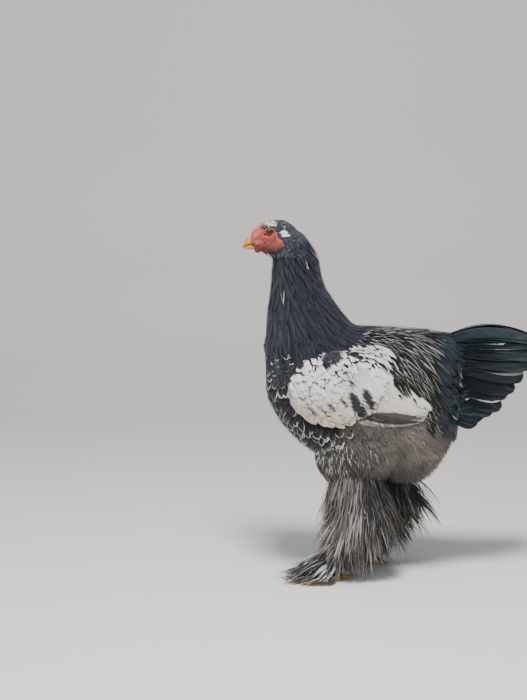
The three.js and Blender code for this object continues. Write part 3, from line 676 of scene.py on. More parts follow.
comb_blank = linked("comb_blank", comb_seed)
comb_blank.modifiers.new("beads", "NODES").node_group = beads_tree(face_material)
comb_mesh = finished(comb_blank)
p = points_of(comb_mesh)
p += unit(p - np.array([-225, 0, 590])) * 0.5 * noise(p, 4, 2)[:, None]
place_points(comb_mesh, p)
paint(comb_mesh, "tint", np.clip(mottled((0.42, 0.13, 0.1), p, 0.3, 8, 4), 0, 1))
dressed("pea_comb", comb_mesh, face_material)


# Beak
# Short stout yellow horn with a curved culmen and a hooked tip, and a darker smear along the ridge.

# A row holds a share of the length, then how far ahead it is, the top, the bottom and the half width.
BEAK_UPPER = [
    [0, -236, 597.5, 580.0, 9.4],
    [0.2, -241, 596.6, 580.0, 8.8],
    [0.45, -247, 594.2, 579.2, 7.4],
    [0.7, -252.5, 589.0, 577.6, 5.4],
    [0.9, -256.8, 582.0, 575.4, 3.0],
    [1, -258.9, 576.4, 574.6, 0.5],
]
BEAK_LOWER = [
    [0, -236, 581.5, 571.6, 8.4],
    [0.3, -243, 580.8, 571.8, 7.2],
    [0.7, -250, 579.4, 572.2, 4.9],
    [1, -256, 576.4, 574.4, 0.6],
]


def beak_mesh(name, rows, ridge):
    stations = 1 - (1 - np.linspace(0, 1, 26)) ** 1.3
    x, top, bottom, half = (part[:, None] for part in curve_through(rows)(stations).T)
    angle = full_turn(28)[None, :]
    middle = bottom + 0.32 * (top - bottom)
    s, c = np.sin(angle), np.cos(angle)
    keel = np.where(s > 0, np.abs(s) ** ridge, np.abs(s) ** 1.1) * np.sign(s)
    rise = middle + np.where(s > 0, (top - middle) * keel, (middle - bottom) * keel)
    grid = np.stack([x + 0 * angle, half * np.sign(c) * np.abs(c) ** 0.9, rise], 2)
    for side in SIDES:
        nostril = np.array([-245.5, side * 6.2, 589.8])
        pit = np.linalg.norm((grid - nostril) / (2.4, 2.6, 1.0), axis=2)
        grid[..., 1] -= side * 1.4 * np.clip(1.1 - pit, 0, 1)
    mesh = tubes_mesh(name, [grid])
    p = points_of(mesh)
    color = mix(mottled((0.46, 0.19, 0.016), p, 0.2, 5, 8), (0.3, 0.2, 0.1), ramp(p[:, 2], 588, 598) * 0.45)
    color = mix(color, (0.75, 0.6, 0.35), ramp(p[:, 0], -250, -260) * 0.2)
    paint(mesh, "tint", np.clip(color, 0, 1))
    return mesh


horn_material = tint_material("horn", 0.32, gloss(0.25))
for part, rows, ridge in (("upper", BEAK_UPPER, 0.85), ("lower", BEAK_LOWER, 1.0)):
    beak = dressed("bill_" + part, beak_mesh("bill", rows, ridge), horn_material)
    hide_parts("beak_" + part)


# Feathers
# Every feather is a thin curved vane with barbs, a shaft and a rim of its own colour. A feather is laid as a
# path over the body, sunk at its root and lifted at its tip, and many are joined into one mesh.
DOWN = np.array([0, 0, -1])


def stops(rows):
    return 1 - (1 - np.linspace(0, 1, rows)) ** 1.35


def square_to(v, way):
    """The part of each v that stands square to a way, as unit vectors."""
    return unit(v - way * np.sum(v * way, -1, keepdims=True))


def vectors(x, y, z):
    """Rows of [x, y, z] from numbers or arrays."""
    return np.stack(np.broadcast_arrays(x, y, z), 1)


def laid(roots, heading, length, rows, sink, rise, rule=trunk_rule, hang=0.0):
    """Paths that start at roots on a rule's surface and run over it. Gives points, ups and acrosses."""
    s = stops(rows)
    p = roots.copy()
    points, ups, sides = [], [], []
    for i in range(rows):
        up = unit(slope(rule, p))
        way = square_to(heading + DOWN * hang * s[i], up)
        lift = -sink + (rise + sink) * s[i] ** 0.8
        points.append(p + up * column(lift))
        ups.append(up)
        sides.append(np.cross(up, way))
        if i < rows - 1:
            p = p + way * (length * (s[i + 1] - s[i]))[:, None]
            p = settle(rule, p, 0, 1)
    return np.stack(points, 1), np.stack(ups, 1), np.stack(sides, 1)


def flown(roots, way, length, rows, up, sag=0.0, bow=0.0):
    """Paths that leave the body straight along a way, bow outwards and sag at their tips."""
    s = stops(rows)[None, :, None]
    way = unit(way)
    up = square_to(up, way)[:, None]
    length = np.reshape(length, (-1, 1, 1))
    points = roots[:, None] + way[:, None] * length * s + up * (4 * s * (1 - s) * bow * length)
    points = points + DOWN * (sag * length * s**2)
    along = unit(np.gradient(points, axis=1))
    ups = square_to(up, along)
    return points, ups, np.cross(ups, along)


def outline(shape, s):
    """The width of a vane along its length, as a share of its widest."""
    if shape == "round":
        closing = np.clip(1 - (np.clip(s - 0.58, 0, 1) / 0.43) ** 2, 0.006, 1)
        return (0.42 + 0.58 * ramp(s, 0, 0.5) ** 0.8) * np.sqrt(closing)
    if shape == "point":
        closing = 1.02 - np.clip((s - 0.35) / 0.66, 0, 1) ** 1.5
        return (0.5 + 0.5 * ramp(s, 0, 0.35)) * np.clip(closing, 0, 1)
    return (0.75 + 0.25 * ramp(s, 0, 0.3)) * np.clip(1.04 - s**2.2, 0, 1)


def quads_mesh(grid):
    """One mesh from many grids of points, and the vertex number of each face corner."""
    index = np.arange(grid.size // 3).reshape(grid.shape[:3])
    corners = index[:, :-1, :-1], index[:, :-1, 1:], index[:, 1:, 1:], index[:, 1:, :-1]
    quads = np.stack(corners, -1).reshape(-1, 4)
    mesh = bpy.data.meshes.new("feathers")
    mesh.vertices.add(grid.size // 3)
    mesh.vertices.foreach_set("co", (grid * MM).astype(np.float32).ravel())
    mesh.loops.add(quads.size)
    mesh.loops.foreach_set("vertex_index", quads.ravel())
    mesh.polygons.add(len(quads))
    mesh.polygons.foreach_set("loop_start", np.arange(0, quads.size, 4))
    mesh.polygons.foreach_set("use_smooth", np.ones(len(quads), bool))
    mesh.update(calc_edges=True)
    return mesh, quads.ravel()


def feathers(
    path, width, shape, patch_at, colors, seed, columns=5, camber=0.12, ragged=0.04, patch=0.003, tips=1.0
):
    """One mesh of vanes. The colours are a tint and a rim for each feather, and lace, which is how far the
    rim reaches in. Tips is how much of the rim closes over the tip."""
    points, ups, sides = path
    tint, rim, lace = colors
    count, rows = points.shape[:2]
    rng = np.random.default_rng(seed)
    s = stops(rows)
    u = np.linspace(-1, 1, columns)[None, None, :]
    half = 0.5 * np.reshape(width, (-1, 1, 1)) * outline(shape, s)[None, :, None]
    wobble = 1 + ragged * rng.normal(size=(count, rows, columns)) * np.abs(u)
    across = (half * u * wobble)[..., None] * sides[:, :, None]
    arch = (-camber * half * u**2)[..., None] * ups[:, :, None]
    mesh, corners = quads_mesh(points[:, :, None] + across + arch)
    vane = np.stack(np.broadcast_arrays(u * 0.5 + 0.5, s[None, :, None]), -1)
    vane = np.broadcast_to(vane, (count, rows, columns, 2)).reshape(-1, 2)
    each = rows * columns
    spot = np.clip(patch_at, 0.004, 0.996).repeat(each, 0) + patch * (vane - 0.5)
    for layer, uv in (("OFBake", spot), ("vane", vane)):
        mesh.uv_layers.new(name=layer).data.foreach_set("uv", uv[corners].astype(np.float32).ravel())
    size = np.broadcast_to(column(width), (count, 1))
    length = np.linalg.norm(np.diff(points, axis=1), axis=2).sum(1, keepdims=True)
    look = np.hstack([column(lace) + 0 * size, size / 40, length / 200, tips + 0 * size])
    for name, value in (("tint", np.clip(tint, 0, 1)), ("rim", np.clip(rim, 0, 1)), ("look", look)):
        paint(mesh, name, value.repeat(each, 0))
    return mesh


def vane_group():
    """Colour and normal of a vane: rim, shaft, barbs that run out from the shaft at a slant, and painted
    shade that darkens the vane towards its root.
    """
    tree = bpy.data.node_groups.new("vane", "ShaderNodeTree")
    tree.interface.new_socket("Color", in_out="OUTPUT", socket_type="NodeSocketColor")
    tree.interface.new_socket("Normal", in_out="OUTPUT", socket_type="NodeSocketVector")
    graph = Graph(tree)
    plus, minus, times = (partial(graph.maths, kind) for kind in ("ADD", "SUBTRACT", "MULTIPLY"))
    looks = graph.add("ShaderNodeAttribute", attribute_name="look")
    look = graph.add("ShaderNodeSeparateColor")
    graph.join(look.inputs["Color"], looks.outputs["Color"])
    lace, width, length = look.outputs[:3]
    place = graph.add("ShaderNodeSeparateXYZ")
    graph.join(place.inputs["Vector"], graph.add("ShaderNodeUVMap", uv_map="vane").outputs["UV"])
    out = graph.maths("ABSOLUTE", minus(times(place.outputs["X"], 2.0), 1.0))
    along = place.outputs["Y"]
    outer_half = graph.maths("MAXIMUM", graph.maths("DIVIDE", minus(along, 0.5), 0.5), 0.0)
    tip = times(outer_half, looks.outputs["Alpha"])
    edge = graph.maths("SQRT", plus(graph.maths("POWER", out, 2.0), graph.maths("POWER", tip, 2.0)))
    speckle = graph.clouds(420, 4)
    reach = minus(1.02, lace)
    mask = graph.add("ShaderNodeMapRange", interpolation_type="SMOOTHSTEP")
    graph.join(mask.inputs["Value"], plus(edge, times(minus(speckle, 0.5), 0.25)))
    graph.join(mask.inputs["From Min"], reach)
    graph.join(mask.inputs["From Max"], plus(reach, 0.12))
    rimmed = times(mask.outputs["Result"], graph.maths("GREATER_THAN", lace, 0.01))
    color = graph.mixed(rimmed, graph.painted("tint"), graph.painted("rim"))
    slant = plus(times(times(along, length), 200.0), times(times(out, width), -14.0))
    ribs = graph.maths("SINE", times(slant, 5.6))
    shaft = graph.maths("LESS_THAN", out, 0.045)
    shade = plus(times(ribs, 0.12), plus(0.75, times(speckle, 0.5)))
    # Painted shade: the vane is darker towards its root, where the feathers over it would shade it.
    depth = plus(0.55, times(graph.maths("MINIMUM", times(along, 1.5), 1.0), 0.45))
    color = graph.mixed(1.0, color, times(shade, depth), "MULTIPLY")
    color = graph.mixed(times(shaft, 0.2), color, (0.3, 0.29, 0.28, 1))
    leave = graph.add("NodeGroupOutput")
    graph.join(leave.inputs["Color"], color)
    graph.join(leave.inputs["Normal"], graph.bumped(plus(ribs, times(shaft, 2.0)), 0.00035))
    return tree


vane_tree = vane_group()


def feather_material(name, roughness, sheen, gloss_color=None, gloss=0.0):
    """A feather's shader. A gloss colour adds the oily blue or green that black feathers show at a slant."""
    settings = {"Sheen Weight": sheen, "Sheen Roughness": 0.5, "Specular IOR Level": 0.28}
    material = plain_material(name, (0.1, 0.1, 0.1), roughness, settings)
    graph = Graph(material.node_tree)
    shader = material.node_tree.nodes["Principled BSDF"]
    vane = graph.add("ShaderNodeGroup", node_tree=vane_tree)
    color = vane.outputs["Color"]
    if gloss_color:
        facing = graph.add("ShaderNodeLayerWeight")
        facing.inputs["Blend"].default_value = 0.45
        cloud = graph.maths("MAXIMUM", graph.maths("SUBTRACT", graph.clouds(34, 2), 0.34), 0.0)
        patchy = graph.maths("MULTIPLY", cloud, 4 * gloss)
        share = graph.maths("MULTIPLY", facing.outputs["Facing"], patchy)
        color = graph.mixed(share, color, (*gloss_color, 1), "ADD")
    graph.join(shader.inputs["Base Color"], color)
    graph.join(shader.inputs["Normal"], vane.outputs["Normal"])
    return material


hackle_material = feather_material("hackle_feather", 0.45, 0.0, (0.024, 0.034, 0.07), 0.5)
back_material = feather_material("back_feather", 0.45, 0.0, (0.012, 0.024, 0.04), 0.4)
tail_material = feather_material("tail_feather", 0.3, 0.0, (0.01, 0.05, 0.058), 0.65)
white_material = feather_material("white_feather", 0.65, 0.1)
fluff_material = feather_material("fluff", 0.85, 0.15)


def scattered(points, spacing, seed):
    """Picks points in a drawn order so that none is nearer to another than the spacing."""
    taken, kept = {}, []
    for i in np.random.default_rng(seed).permutation(len(points)):
        p = points[i]
        a, b, c = (p // spacing).astype(int)
        near = (
            q
            for da in (-1, 0, 1)
            for db in (-1, 0, 1)
            for dc in (-1, 0, 1)
            for q in taken.get((a + da, b + db, c + dc), ())
        )
        if all((p[0] - q[0]) ** 2 + (p[1] - q[1]) ** 2 + (p[2] - q[2]) ** 2 > spacing**2 for q in near):
            taken.setdefault((a, b, c), []).append(p)
            kept.append(i)
    return points[np.array(sorted(kept), int)]


def turn_of(sideways, onward):
    return np.arctan2(sideways, onward) / (2 * np.pi) + 0.5


def barrel_place(p):
    """Where a root of the trunk lies on an unwrap of the skin: round the long axis and along it."""
    along = (p[:, 0] + 270) / 540
    return np.stack([0.01 + 0.98 * turn_of(p[:, 1], p[:, 2] - 320), 0.01 + 0.98 * along], 1)


def column_place(p):
    """The same for the neck and head: round the upright axis."""
    along = (p[:, 2] - 330) / 310
    return np.stack([0.01 + 0.98 * turn_of(p[:, 1], p[:, 0] + 180), 0.01 + 0.98 * along], 1)


def leg_place(p):
    """The same for the legs, with the left and the right leg apart."""
    right = p[:, 1] > 0
    turn = turn_of(np.abs(p[:, 1]) - 54, p[:, 0] - np.where(right, THIGH_X[RIGHT], THIGH_X[LEFT]))
    return np.stack([0.01 + 0.48 * turn + 0.5 * right, 0.01 + 0.98 * p[:, 2] / 330], 1)


def shades(rng, count):
    """A call that draws one colour for each feather, darker or lighter than the colour it is given."""
    return lambda color, spread=0.25: np.array(color) * (1 + spread * rng.uniform(-1, 1, (count, 1)))


surface = settle(trunk_rule, skin_points, 0, 3)
sx, sz = surface[:, 0], surface[:, 2]
on_wing = np.minimum(wing_rules[LEFT](surface), wing_rules[RIGHT](surface)) < 2.5
on_thigh = (np.minimum(thigh_rules[LEFT](surface), thigh_rules[RIGHT](surface)) < 2.5) & (sz < 262)
on_neck = (neck_rule(surface) < 3) & (sz > 405) & ~on_wing
on_head = (sz > 566) & (sx < -155)
low_leg = (skin_points[:, 2] < 165) & ~on_thigh


# Head feathers
# Tiny feathers over crown, nape and throat. They are white behind the comb, grey on the crown, dark over the
# eye and on the jaw, and a white tuft covers the ear.
def on_jaw(x, z):
    return np.hypot((x + 207) / 9, (z - 582) / 6) < 1


head_rng = np.random.default_rng(21)
roots = scattered(surface[on_head & ((bareness(surface) < 0.4) | on_jaw(sx, sz))], 2.5, 22)
x, y, z = roots.T
count = len(roots)
shade = shades(head_rng, count)
jaw = on_jaw(x, z)
over_lobe = (x < -183) & (z > 578)
brow = (z < 614) & (z > 600) & (x < -199)
ear = np.hypot(x + 190.5, z - 600.5) < 5
heading = vectors(0.9, 0, -0.25 - np.where(over_lobe, 0.1, 1.0) * ramp(z, 606, 586))
length = head_rng.uniform(6, 9.5, count) * np.where(z > 611, 0.9, 1.15) * np.where(jaw, 0.55, 1)
chance = head_rng.uniform(size=count)
white = ((z > 612) & (x < -205) & (chance < 0.75)) | ear
grey = (z > 609) & (x < -188) & (chance > 0.4)
tint = shade((0.03, 0.035, 0.045), 0.4)
tint = chosen(grey, shade((0.15, 0.17, 0.16), 0.6), tint)
tint = chosen(jaw, shade((0.16, 0.13, 0.11), 0.5), tint)
tint = chosen(white, shade((0.82, 0.82, 0.77), 0.12), tint)
rim = chosen(white, tint, shade((0.1, 0.11, 0.13), 0.4))
rise = np.where(ear, 3, np.where(jaw, 0.5, np.where(brow, 2.6, 1.1)))
path = laid(roots, heading, length * np.where(ear, 1.15, 1), 5, 0.8, rise)
width = np.where(ear, 5.5, 4.2)
mesh = feathers(path, width, "round", column_place(roots), (tint, rim, 0.2), seed=23, columns=3)
dressed("head_feathers", mesh, hackle_material)


# Hackle
# Long pointed slate-black neck feathers that fall in a cape over the shoulders, a few flecked with white.
hackle_rng = np.random.default_rng(31)
behind_lobe = (sx > -181) | (sz < 570)
neck_skin = surface[(on_neck | on_head) & behind_lobe & (sz < 600) & (bareness(surface) < 0.2)]
roots = scattered(neck_skin, 6.4, 32)
x, y, z = roots.T
count = len(roots)
shade = shades(hackle_rng, count)
around = np.arctan2(y, -(x + 170))
heading = vectors(0.1 + 0.3 * (1 - np.cos(around)), 0.12 * np.sin(around), -1)
grown = ramp(z, 590, 440)
length = (26 + 52 * grown) * hackle_rng.uniform(0.85, 1.15, count)
flecked = hackle_rng.uniform(size=count) < 0.02
tint = shade((0.016, 0.019, 0.027), 0.45)
rim = chosen(flecked, shade((0.6, 0.6, 0.58), 0.2), shade((0.05, 0.06, 0.085), 0.5))
rise = hackle_rng.uniform(2, 4.6, count) * (0.35 + 0.65 * ramp(z, 420, 460))
path = laid(roots, heading, length, 8, 2.5, rise)
colors = (tint, rim, np.where(flecked, 0.3, 0.13))
mesh = feathers(path, 7 + 6.5 * grown, "point", column_place(roots), colors, seed=33)
dressed("hackle", mesh, hackle_material)


# Breast
# Black feathers with white lacing from under the hackle down the breast and forward flanks.
breast_rng = np.random.default_rng(41)
front = (sx < -95 + 0.35 * (sz - 250)) & (sz < 418) & ~on_wing & ~on_thigh & ~low_leg
roots = scattered(surface[front], 8.2, 42)
x, y, z = roots.T
count = len(roots)
shade = shades(breast_rng, count)
swing = breast_rng.normal(0, 0.22, count)
heading = vectors(0.35 + 0.5 * ramp(z, 300, 200) + swing, 0.6 * swing, -1)
length = breast_rng.uniform(25, 42, count)
laced = breast_rng.uniform(size=count) < 0.42 + 0.36 * ramp(z, 330, 240)
tint = shade((0.012, 0.012, 0.015), 0.4)
rim = chosen(laced, shade((0.52, 0.5, 0.46), 0.5), shade((0.045, 0.045, 0.05)))
lace = np.where(laced, breast_rng.uniform(0.07, 0.22, count), 0.15)
path = laid(roots, heading, length, 7, 6, breast_rng.uniform(0.5, 3, count))
width = breast_rng.uniform(15, 20, count)
mesh = feathers(path, width, "round", barrel_place(roots), (tint, rim, lace), seed=43)
dressed("breast_feathers", mesh, back_material)


# Belly and abdomen
# Soft grey-brown fluff in fine curved barbs, laid down and back. It is darker low in front and hangs loose
# under the belly.
def tufts(roots, heading, length, width, spread, rows, sink, rise, rng, hang=0.0, blades=10):
    """Barbs fanned from each root, laid over the body. Gives the paths, widths and the roots repeated."""
    many = roots.repeat(blades, 0)
    way = unit(heading.repeat(blades, 0))
    side = np.cross(unit(slope(trunk_rule, many)), way)
    turn = np.tile(np.linspace(-1, 1, blades), len(roots)) * spread + rng.normal(0, 0.12, len(many))
    way = way * np.cos(turn)[:, None] + side * np.sin(turn)[:, None]
    size = length.repeat(blades) * rng.uniform(0.65, 1.1, len(many))
    lift = rise.repeat(blades) * rng.uniform(0.3, 1.2, len(many))
    path = laid(many, way, size, rows, sink, lift, hang=hang)
    return path, width * rng.uniform(0.7, 1.3, len(many)), many


def fluff_color(p, cloud, rng, forward=0, up=0):
    """From near black low in front to a warm grey behind, in soft clouds."""
    x, z = p[:, 0] - forward, p[:, 2] + up
    back = np.clip((x + 60) / 130 + (z - 215) / 200, 0, 1)
    color = mix((0.055, 0.05, 0.048), (0.27, 0.23, 0.195), back)
    return mottled(color * (1 + 0.3 * rng.uniform(-1, 1, (len(p), 1))), p, 0.35, cloud, 6)


def barbs(path, width, place, tint, paler, seed):
    """One mesh of fine flat barbs, a little paler at their edges."""
    return feathers(path, width, "blade", place, (tint, tint * paler, 0.2), seed, columns=2, camber=0)


belly_rng = np.random.default_rng(51)
roots = scattered(surface[in_fluff(sx, sz) & ~on_wing & ~low_leg & ~on_thigh], 6.4, 52)
x, y, z = roots.T
low = ramp(z, 235, 195)
heading = vectors(0.75 - 0.4 * low, 0, -0.8)
length = belly_rng.uniform(20, 30, len(roots)) + 12 * low
rise = 3 + 9 * low + 4 * ramp(x, 20, 80)
path, width, many = tufts(roots, heading, length, 2.2, 0.5, 5, 6, rise, belly_rng)
mesh = barbs(path, width, barrel_place(many), fluff_color(many, 45, belly_rng), 1.25, 53)
dressed("belly_fluff", mesh, fluff_material)


# Thighs
# The same soft feathers cover the thighs, with a few pale strands low down in front.
thigh_rng = np.random.default_rng(61)
roots = scattered(surface[on_thigh], 6.2, 62)
x, y, z = roots.T
low = ramp(z, 200, 160)
middle = np.where(y > 0, THIGH_X[RIGHT], THIGH_X[LEFT])
heading = vectors(0.35 + 0.4 * np.clip((x - middle) / 60, -0.6, 1), 0, -1)
length = thigh_rng.uniform(24, 36, len(roots)) + 18 * low
path, width, many = tufts(roots, heading, length, 2.3, 0.42, 6, 5, 3.5 + 9 * low, thigh_rng, hang=0.6)
tint = fluff_color(many, 40, thigh_rng, forward=10, up=25)
ahead = np.clip((many[:, 0] - np.where(many[:, 1] > 0, 36, 0)) / -50 - 1.2, 0, 1)
pale = thigh_rng.uniform(size=len(many)) < 0.03 + 0.22 * ahead
tint = chosen(pale, shades(thigh_rng, len(many))((0.55, 0.52, 0.47), 0.2), tint)
dressed("thigh_fluff", barbs(path, width, leg_place(many), tint, 1.25, 63), fluff_material)


# Back and saddle
# Narrow black feathers with white edges. They lengthen towards the saddle, droop over the folded wings and
# turn glossy towards the tail. A patch of white ones stands over each wing.
back_rng = np.random.default_rng(71)
upper = (sz > 352 - 0.05 * sx) & (sx > -85) & (sx < 112) & ~on_wing & ~on_neck
rear = (sz > 300) & (sx > 35) & ~on_wing
glossy = sx > 62
roots = scattered(surface[(upper | rear) & ~glossy], 7.2, 72)
x, y, z = roots.T
count = len(roots)
shade = shades(back_rng, count)
spread = ramp(np.abs(y), 0, 70)
heading = vectors(1, np.sign(y) * 0.25 * spread, -0.1 - 1.05 * spread)
length = (32 + 34 * ramp(x, -60, 50)) * back_rng.uniform(0.8, 1.15, count)
edged = back_rng.uniform(size=count) < 0.8 - 0.5 * ramp(x, 30, 65)
white = (x < -24) & (z < 421) & (np.abs(y) > 44) & (back_rng.uniform(size=count) < 0.85)
tint = shade((0.009, 0.01, 0.012), 0.4)
tint = chosen(white, shade((0.82, 0.8, 0.75), 0.08), tint)
edge = mix((0.82, 0.82, 0.8), (0.5, 0.44, 0.37), np.clip(spread - 0.3, 0, 1))
edge = edge * back_rng.uniform(0.6, 1.1, (count, 1))
rim = chosen(edged, edge, shade((0.03, 0.05, 0.06), 0.4))
rim = chosen(white, shade((0.3, 0.3, 0.3), 0.5), rim)
lace = np.where(white, 0.12, np.where(edged, back_rng.uniform(0.14, 0.38, count), 0.2))
path = laid(roots, heading, length, 9, 4, 2.5 + 3 * spread + back_rng.uniform(0, 2.5, count), hang=0.3)
width = np.where(white, 13, back_rng.uniform(9, 13, count))
mesh = feathers(path, width, "point", barrel_place(roots), (tint, rim, lace), seed=73, tips=0.5)
dressed("back_feathers", mesh, back_material)

roots = scattered(surface[(upper | rear) & glossy], 8.5, 75)
x, y, z = roots.T
count = len(roots)
shade = shades(back_rng, count)
spread = ramp(np.abs(y), 0, 45)
heading = vectors(1, np.sign(y) * 0.25 * spread, 0.1 - 0.95 * spread)
tint = shade((0.013, 0.018, 0.024), 0.4)
rim = chosen(back_rng.uniform(size=count) < 0.1, shade((0.5, 0.5, 0.45), 0.3), tint * 1.6)
length = back_rng.uniform(48, 68, count)
path = laid(roots, heading, length, 9, 4, 7 + back_rng.uniform(0, 5, count), hang=0.35)
width = back_rng.uniform(17, 24, count)
mesh = feathers(path, width, "round", barrel_place(roots), (tint, rim, 0.08), seed=76, columns=7, camber=0.2)
dressed("rump_feathers", mesh, tail_material)


# Wing bow and coverts
# White and cream feathers lie in overlapping rows on each folded wing. Thin dark streaks mark the lower ones,
# black patches part the bow from the white secondaries, and a dusky patch lies over the pale lower edge. That
# patch is partly dark feathers and partly painted shadow in the gap below the secondaries.

# Marks are ovals on the wing's side. Those of one size and slant stand together, each with its centre.
WING_MARKS = [
    {"radii": (26, 10), "turn": -1.1, "at": [(-62, 313)]},
    {"radii": (22, 7.5), "turn": -1.1, "at": [(-43, 323)]},
    {"radii": (19, 12), "turn": 0.3, "at": [(-104, 395)]},
    {
        "radii": (13, 2.2),
        "turn": -0.85,
        "at": [(-150, 318), (-139, 303), (-118, 300), (-104, 309), (-92, 296), (-84, 318)],
    },
    {"radii": (11, 2.6), "turn": -1.0, "at": [(-82, 370), (-72, 352), (-88, 356)]},
    {
        "radii": (3.2, 2),
        "turn": -0.9,
        "at": [(-152, 354), (-146, 342), (-140, 360), (-154, 366), (-131, 351), (-122, 366), (-143, 329)],
    },
]


def oval(x, z, centre, radii, turn):
    """1 inside a turned oval patch of the wing's side and 0 outside it, with a soft edge."""
    dx, dz = x - centre[0], z - centre[1]
    c, s = math.cos(turn), math.sin(turn)
    return np.clip((1.08 - np.hypot((c * dx + s * dz) / radii[0], (c * dz - s * dx) / radii[1])) / 0.16, 0, 1)


def overpainted(mesh, share, color):
    """Mixes one colour into the tint and rim of the vertices, by a share for each vertex."""
    for name in ("tint", "rim"):
        data = mesh.attributes[name].data
        rgba = np.empty(len(data) * 4, np.float32)
        data.foreach_get("color", rgba)
        rgba = rgba.reshape(-1, 4)
        rgba[:, :3] += (np.array(color) - rgba[:, :3]) * share[:, None]
        data.foreach_set("color", rgba.ravel())


def wing_marks(mesh):
    """The black patches behind the bow and the dusky one over the lower edge, part dark feathers and part
    painted shadow, painted across the feathers.
    """
    p = points_of(mesh)
    ragged = 2.5 * noise(p * (1, 1, 1.6), 9, 14)
    x, z = p[:, 0] + ragged, p[:, 2] + 0.5 * ragged
    black = np.zeros(len(p))
    for mark in WING_MARKS:
        for centre in mark["at"]:
            black = np.maximum(black, oval(x, z, centre, mark["radii"], mark["turn"]))
    overpainted(mesh, black, (0.018, 0.018, 0.021))
    # The dusky patch: dark feathers with painted shadow in the gap below the secondaries.
    x, z = x + 2.5 * ragged, z + 0.6 * ragged
    overpainted(mesh, oval(x, z, (4, 293), (45, 8.5), -0.1) * 0.95, (0.042, 0.037, 0.034))


def wing_colors(x, z, rng):
    """White feathers, whiter high on the bow and creamy below, some with dark streaks at their edges."""
    shade = shades(rng, len(x))
    white = shade((0.9, 0.89, 0.86), 0.05)
    tint = mix(white, shade((0.8, 0.69, 0.55), 0.08), ramp(z, 352, 302))
    streaked = rng.uniform(size=len(x)) < 0.1 + 0.3 * ramp(z, 335, 305)
    rim = chosen(streaked, shade((0.09, 0.085, 0.085), 0.3), tint * 0.9)
    return tint, rim, np.where(streaked, 0.14, 0.1)


bow_rng = np.random.default_rng(81)
roots = scattered(surface[on_wing], 6.6, 82)
x, y, z = roots.T
count = len(roots)
heading = vectors(1, 0, -0.45 - 0.4 * ramp(z, 305, 345))
colors = wing_colors(x, z, bow_rng)
length = bow_rng.uniform(24, 34, count)
path = laid(roots, heading, length, 6, 2, bow_rng.uniform(1.2, 3.4, count))
mesh = feathers(path, bow_rng.uniform(11, 15, count), "round", barrel_place(roots), colors, seed=83, tips=0.6)
wing_marks(mesh)
dressed("wing_bow", mesh, white_material)

# Flight feathers are three rows on each wing: the primaries, the secondaries and the coverts over both.
# Roots and tips are spaced from their first x and z to their last.
WING_ROWS = [
    {
        "count": 7, "width": 17, "lift": (1.2, 3),
        "root": ((-116, 290), (-92, 306)), "tip": ((28, 277), (58, 289)),
    },
    {
        "count": 10, "width": 24, "lift": (4, 7),
        "root": ((-88, 302), (-50, 372)), "tip": ((42, 285), (68, 306)),
    },
    {
        "count": 13, "width": 18, "lift": (4.5, 7),
        "root": ((-134, 316), (-66, 392)), "tip": ((-84, 282), (-18, 330)),
    },
]
flight_rng = np.random.default_rng(91)


def gathered(batches):
    """One dictionary of long arrays from a list of dictionaries of short ones."""
    return {key: np.concatenate([batch[key] for batch in batches]) for key in batches[0]}


def row_places(count, side, row, rows):
    """Patches of the bake map in a row for one side, so that long feathers never share one."""
    across = (np.arange(count) + 0.5) / count * 0.5 + 0.25 * (side + 1)
    return np.stack([across, np.full(count, (row + 0.5) / rows)], 1)


def wing_row(side, order, count, root, tip, width, lift):
    rule = blended([torso_rule, wing_rules[side]], 6)
    s = np.linspace(0, 1, count)
    root_x, root_z = np.linspace(*root, count).T
    tip_x, tip_z = (np.linspace(*tip, count) + flight_rng.uniform(-2.5, 2.5, (count, 2))).T
    start = settle(rule, vectors(root_x, side * 96, root_z), 0, 6)
    way = vectors(tip_x - root_x, 0, tip_z - root_z)
    size = np.linalg.norm(way, axis=1) * flight_rng.uniform(0.95, 1.03, count)
    points, ups, sides = laid(start, unit(way), size, 16, 1.5, lift[0] + (lift[1] - lift[0]) * s, rule)
    tint, rim, lace = wing_colors(start[:, 0], start[:, 2] + 0.4 * way[:, 2], flight_rng)
    black = shades(flight_rng, count)((0.05, 0.046, 0.044), 0.3)
    if order == 0:
        tint, rim = chosen(s < 0.4, tint, black), chosen(s < 0.4, tint, black * 2)
    if order == 1:
        tint, rim = chosen(s < 0.15, black * 0.5, tint), chosen(s > 0.55, black * 0.5, rim)
    return {
        "points": points,
        "ups": unit(ups - side * 0.1 * sides),
        "sides": unit(sides + side * 0.1 * ups),
        "tint": tint,
        "rim": rim,
        "lace": lace,
        "width": np.full(count, float(width)),
        "place": row_places(count, side, order, len(WING_ROWS)),
    }


flight = gathered([wing_row(side, order, **row) for side in SIDES for order, row in enumerate(WING_ROWS)])
path = flight["points"], flight["ups"], flight["sides"]
colors = flight["tint"], flight["rim"], flight["lace"]
mesh = feathers(
    path, flight["width"], "round", flight["place"], colors, seed=93, columns=9, camber=0.16, ragged=0.015,
    patch=0.03, tips=0.5,
)
wing_marks(mesh)
dressed("flight_feathers", mesh, white_material)


# Tail
# Broad rounded black feathers with a green and blue gloss. The main ones stand as a steep roof and layers of
# coverts hide their roots. A few carry white edges.

